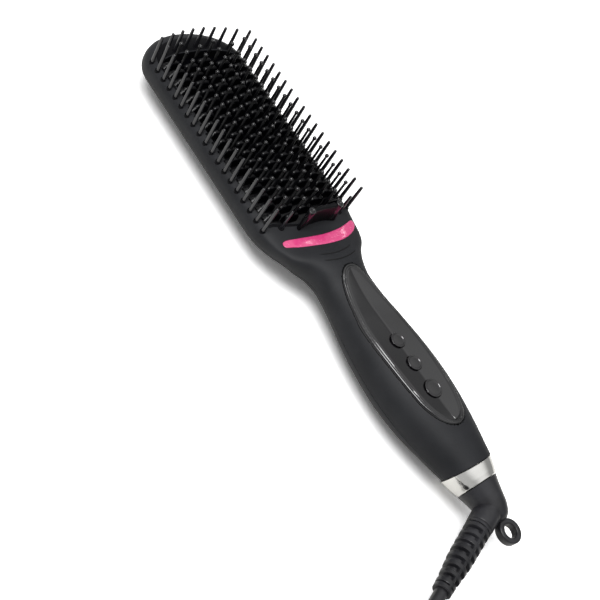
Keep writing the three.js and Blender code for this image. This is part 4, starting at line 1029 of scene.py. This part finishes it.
# Strain relief: discs round a thinner core, joined by two rows of bridges along it, between a plain
# root and a plain tip
relief = {"radius": 6.2, "tip": 4.3, "pitch": 4.7, "disc": 0.62, "depth": 1.7, "bridge": 0.03, "turn": 102.0,
          "edge": 0.1, "rootLength": 1.6, "tipLength": 2.2, "core": 3.1, "plugRadius": 4.3, "plugIn": 5.7,
          "taperFrom": 18.0}


def makeRelief():
    r, length, edge = relief, cord["relief"], relief["edge"]
    along = np.unique(join([np.linspace(0, length, 241), [length - 0.4]]))[:, None]
    angle = roundAngles(64)[None]
    taper = 0.35 * along / length + 0.65 * easeStep(along, r["taperFrom"], length)
    outer = r["radius"] + (r["tip"] - r["radius"]) * taper
    phase = (along - r["rootLength"]) / r["pitch"]
    place = phase - np.floor(phase)
    disc = easeStep(place, 0, edge) * (1 - easeStep(place, r["disc"] - edge, r["disc"]))
    bridge = easeStep(np.abs(np.cos(angle - np.radians(r["turn"]))), 1 - r["bridge"], 1 - r["bridge"] * 0.4)
    ends = (along < r["rootLength"]) | (along > length - r["tipLength"])
    full = np.where(ends, 1.0, np.maximum(disc, 0.9 * bridge))
    reach = np.maximum(outer - r["depth"] * (1 - full), r["core"])
    reach = reach - 0.35 * (along > length - 0.2)
    start = bendPoint + cordWay * (cord["barrel"] + cord["gap"])
    circle = np.cos(angle)[..., None] * np.cross(cordWay, upWay) + np.sin(angle)[..., None] * upWay
    sleeve = start + along[..., None] * cordWay + reach[..., None] * circle
    root = start + r["plugRadius"] * circle
    plugIn = start - r["plugIn"] * cordWay + r["plugRadius"] * circle
    addElbow("relief_sleeve", join([plugIn, root, sleeve]), ["strain_relief"], lids=True)


makeRing()
makeElbow()
makeRelief()
print("ring, elbow and relief made")

# Nodes that stay as they are get their own finishes, steel where none is named
innerFinishes = {
    "heater_left": ceramic, "heater_right": ceramic, "control_board": boardGreen, "power_board": boardGreen,
    "lead_live": rubberBlack, "lead_neutral": rubberBlack, "contact_pin": brass, "contact_block": ceramic,
}
for name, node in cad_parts.items():
    node.data.materials.clear()
    node.data.materials.append(innerFinishes.get(name, steel))

# Floor, soft lamps and sky. The sky is brightest overhead and has a dark side behind the camera.
studio = {"floorHalf": 3000.0, "floorTone": (240, 239, 236), "seenTone": 1.5, "glow": 0.05, "skyLow": 0.3,
          "skyLeft": 0.5, "skyHigh": 0.95, "dark": 0.05, "darkWay": (-0.7, -0.05, 0.7), "aim": (0, -60, 0)}
lamps = {
    "overhead": {"place": (-300, -20, 800), "size": (380, 480), "glow": 9.5},
    "glint": {"place": (420, 288, 420), "size": (24, 34), "glow": 6.0},
    "glintLow": {"place": (535, 261, 330), "size": (20, 34), "glow": 6.0},
}
white = (1, 1, 1, 1)


# The floor as paper, with a little light of its own where the camera sees it
def makeFloor():
    half = studio["floorHalf"]
    corners = [(x * half, y * half, -restDepth) for x, y in ((-1, -1), (1, -1), (1, 1), (-1, 1))]
    mesh = bpy.data.meshes.new("floor")
    mesh.from_pydata(toFrame(corners).tolist(), [], [(0, 1, 2, 3)])
    floor = bpy.data.objects.new("floor", mesh)
    bpy.context.scene.collection.objects.link(floor)
    made = bpy.data.materials.new("studio floor")
    made.use_nodes = True
    made.node_tree.nodes.clear()
    s = Shade(made.node_tree)
    seen = s.node("ShaderNodeLightPath", output="Is Camera Ray")
    colour = seen.mixColour(studio["floorTone"], (studio["seenTone"],) * 3 + (1,))
    paper = s.node("ShaderNodeBsdfDiffuse", None, {"Color": colour})
    glow = s.node("ShaderNodeEmission", None, {"Color": white, "Strength": seen * studio["glow"]})
    s.node("ShaderNodeOutputMaterial", None, {0: s.node("ShaderNodeAddShader", None, {0: paper, 1: glow})})
    mesh.materials.append(made)


def makeSky():
    world = bpy.data.worlds.new("sky")
    bpy.context.scene.world = world
    world.use_nodes = True
    world.node_tree.nodes.clear()
    s = Shade(world.node_tree)
    way = s.node("ShaderNodeTexCoord", output=0)
    up = s.split(way, 2).step(0.48, 0.9)
    left = s.split(way, 0).step(0.2, -0.8)
    darkWay = tuple(unit(np.array(studio["darkWay"])))
    behind = s.node("ShaderNodeVectorMath", {"operation": "DOT_PRODUCT"}, {0: way, 1: darkWay}, output=1)
    strengths = [studio[key] for key in ("skyLow", "skyLeft", "skyHigh", "dark")] + [1.0]
    low, side, high, dark, plain = (s.node("ShaderNodeBackground", None, {"Color": white, "Strength": strength})
                                    for strength in strengths)
    sky = behind.step(0.9, 0.965).mixShader(up.mixShader(left.mixShader(low, side), high), dark)
    seen = s.node("ShaderNodeLightPath", output="Is Camera Ray")
    s.node("ShaderNodeOutputWorld", None, {0: seen.mixShader(sky, plain)})


# Soft lamp aimed at the middle of the brush, its power from its size and how bright its face is
def addLamp(name, place, size, glow):
    data = bpy.data.lights.new(name, "AREA")
    data.shape = "RECTANGLE"
    data.size, data.size_y = size[0] / 1000, size[1] / 1000
    data.energy = glow * np.pi * data.size * data.size_y
    item = bpy.data.objects.new(name, data)
    item.location = Vector(toFrame(place))
    way = Vector(toFrame(studio["aim"])) - item.location
    item.rotation_euler = way.to_track_quat("-Z", "Y").to_euler()
    bpy.context.scene.collection.objects.link(item)


makeFloor()
makeSky()
for name, lamp in lamps.items():
    addLamp(name, **lamp)
bpy.context.scene.view_settings.view_transform = "Standard"

print("scene ready")
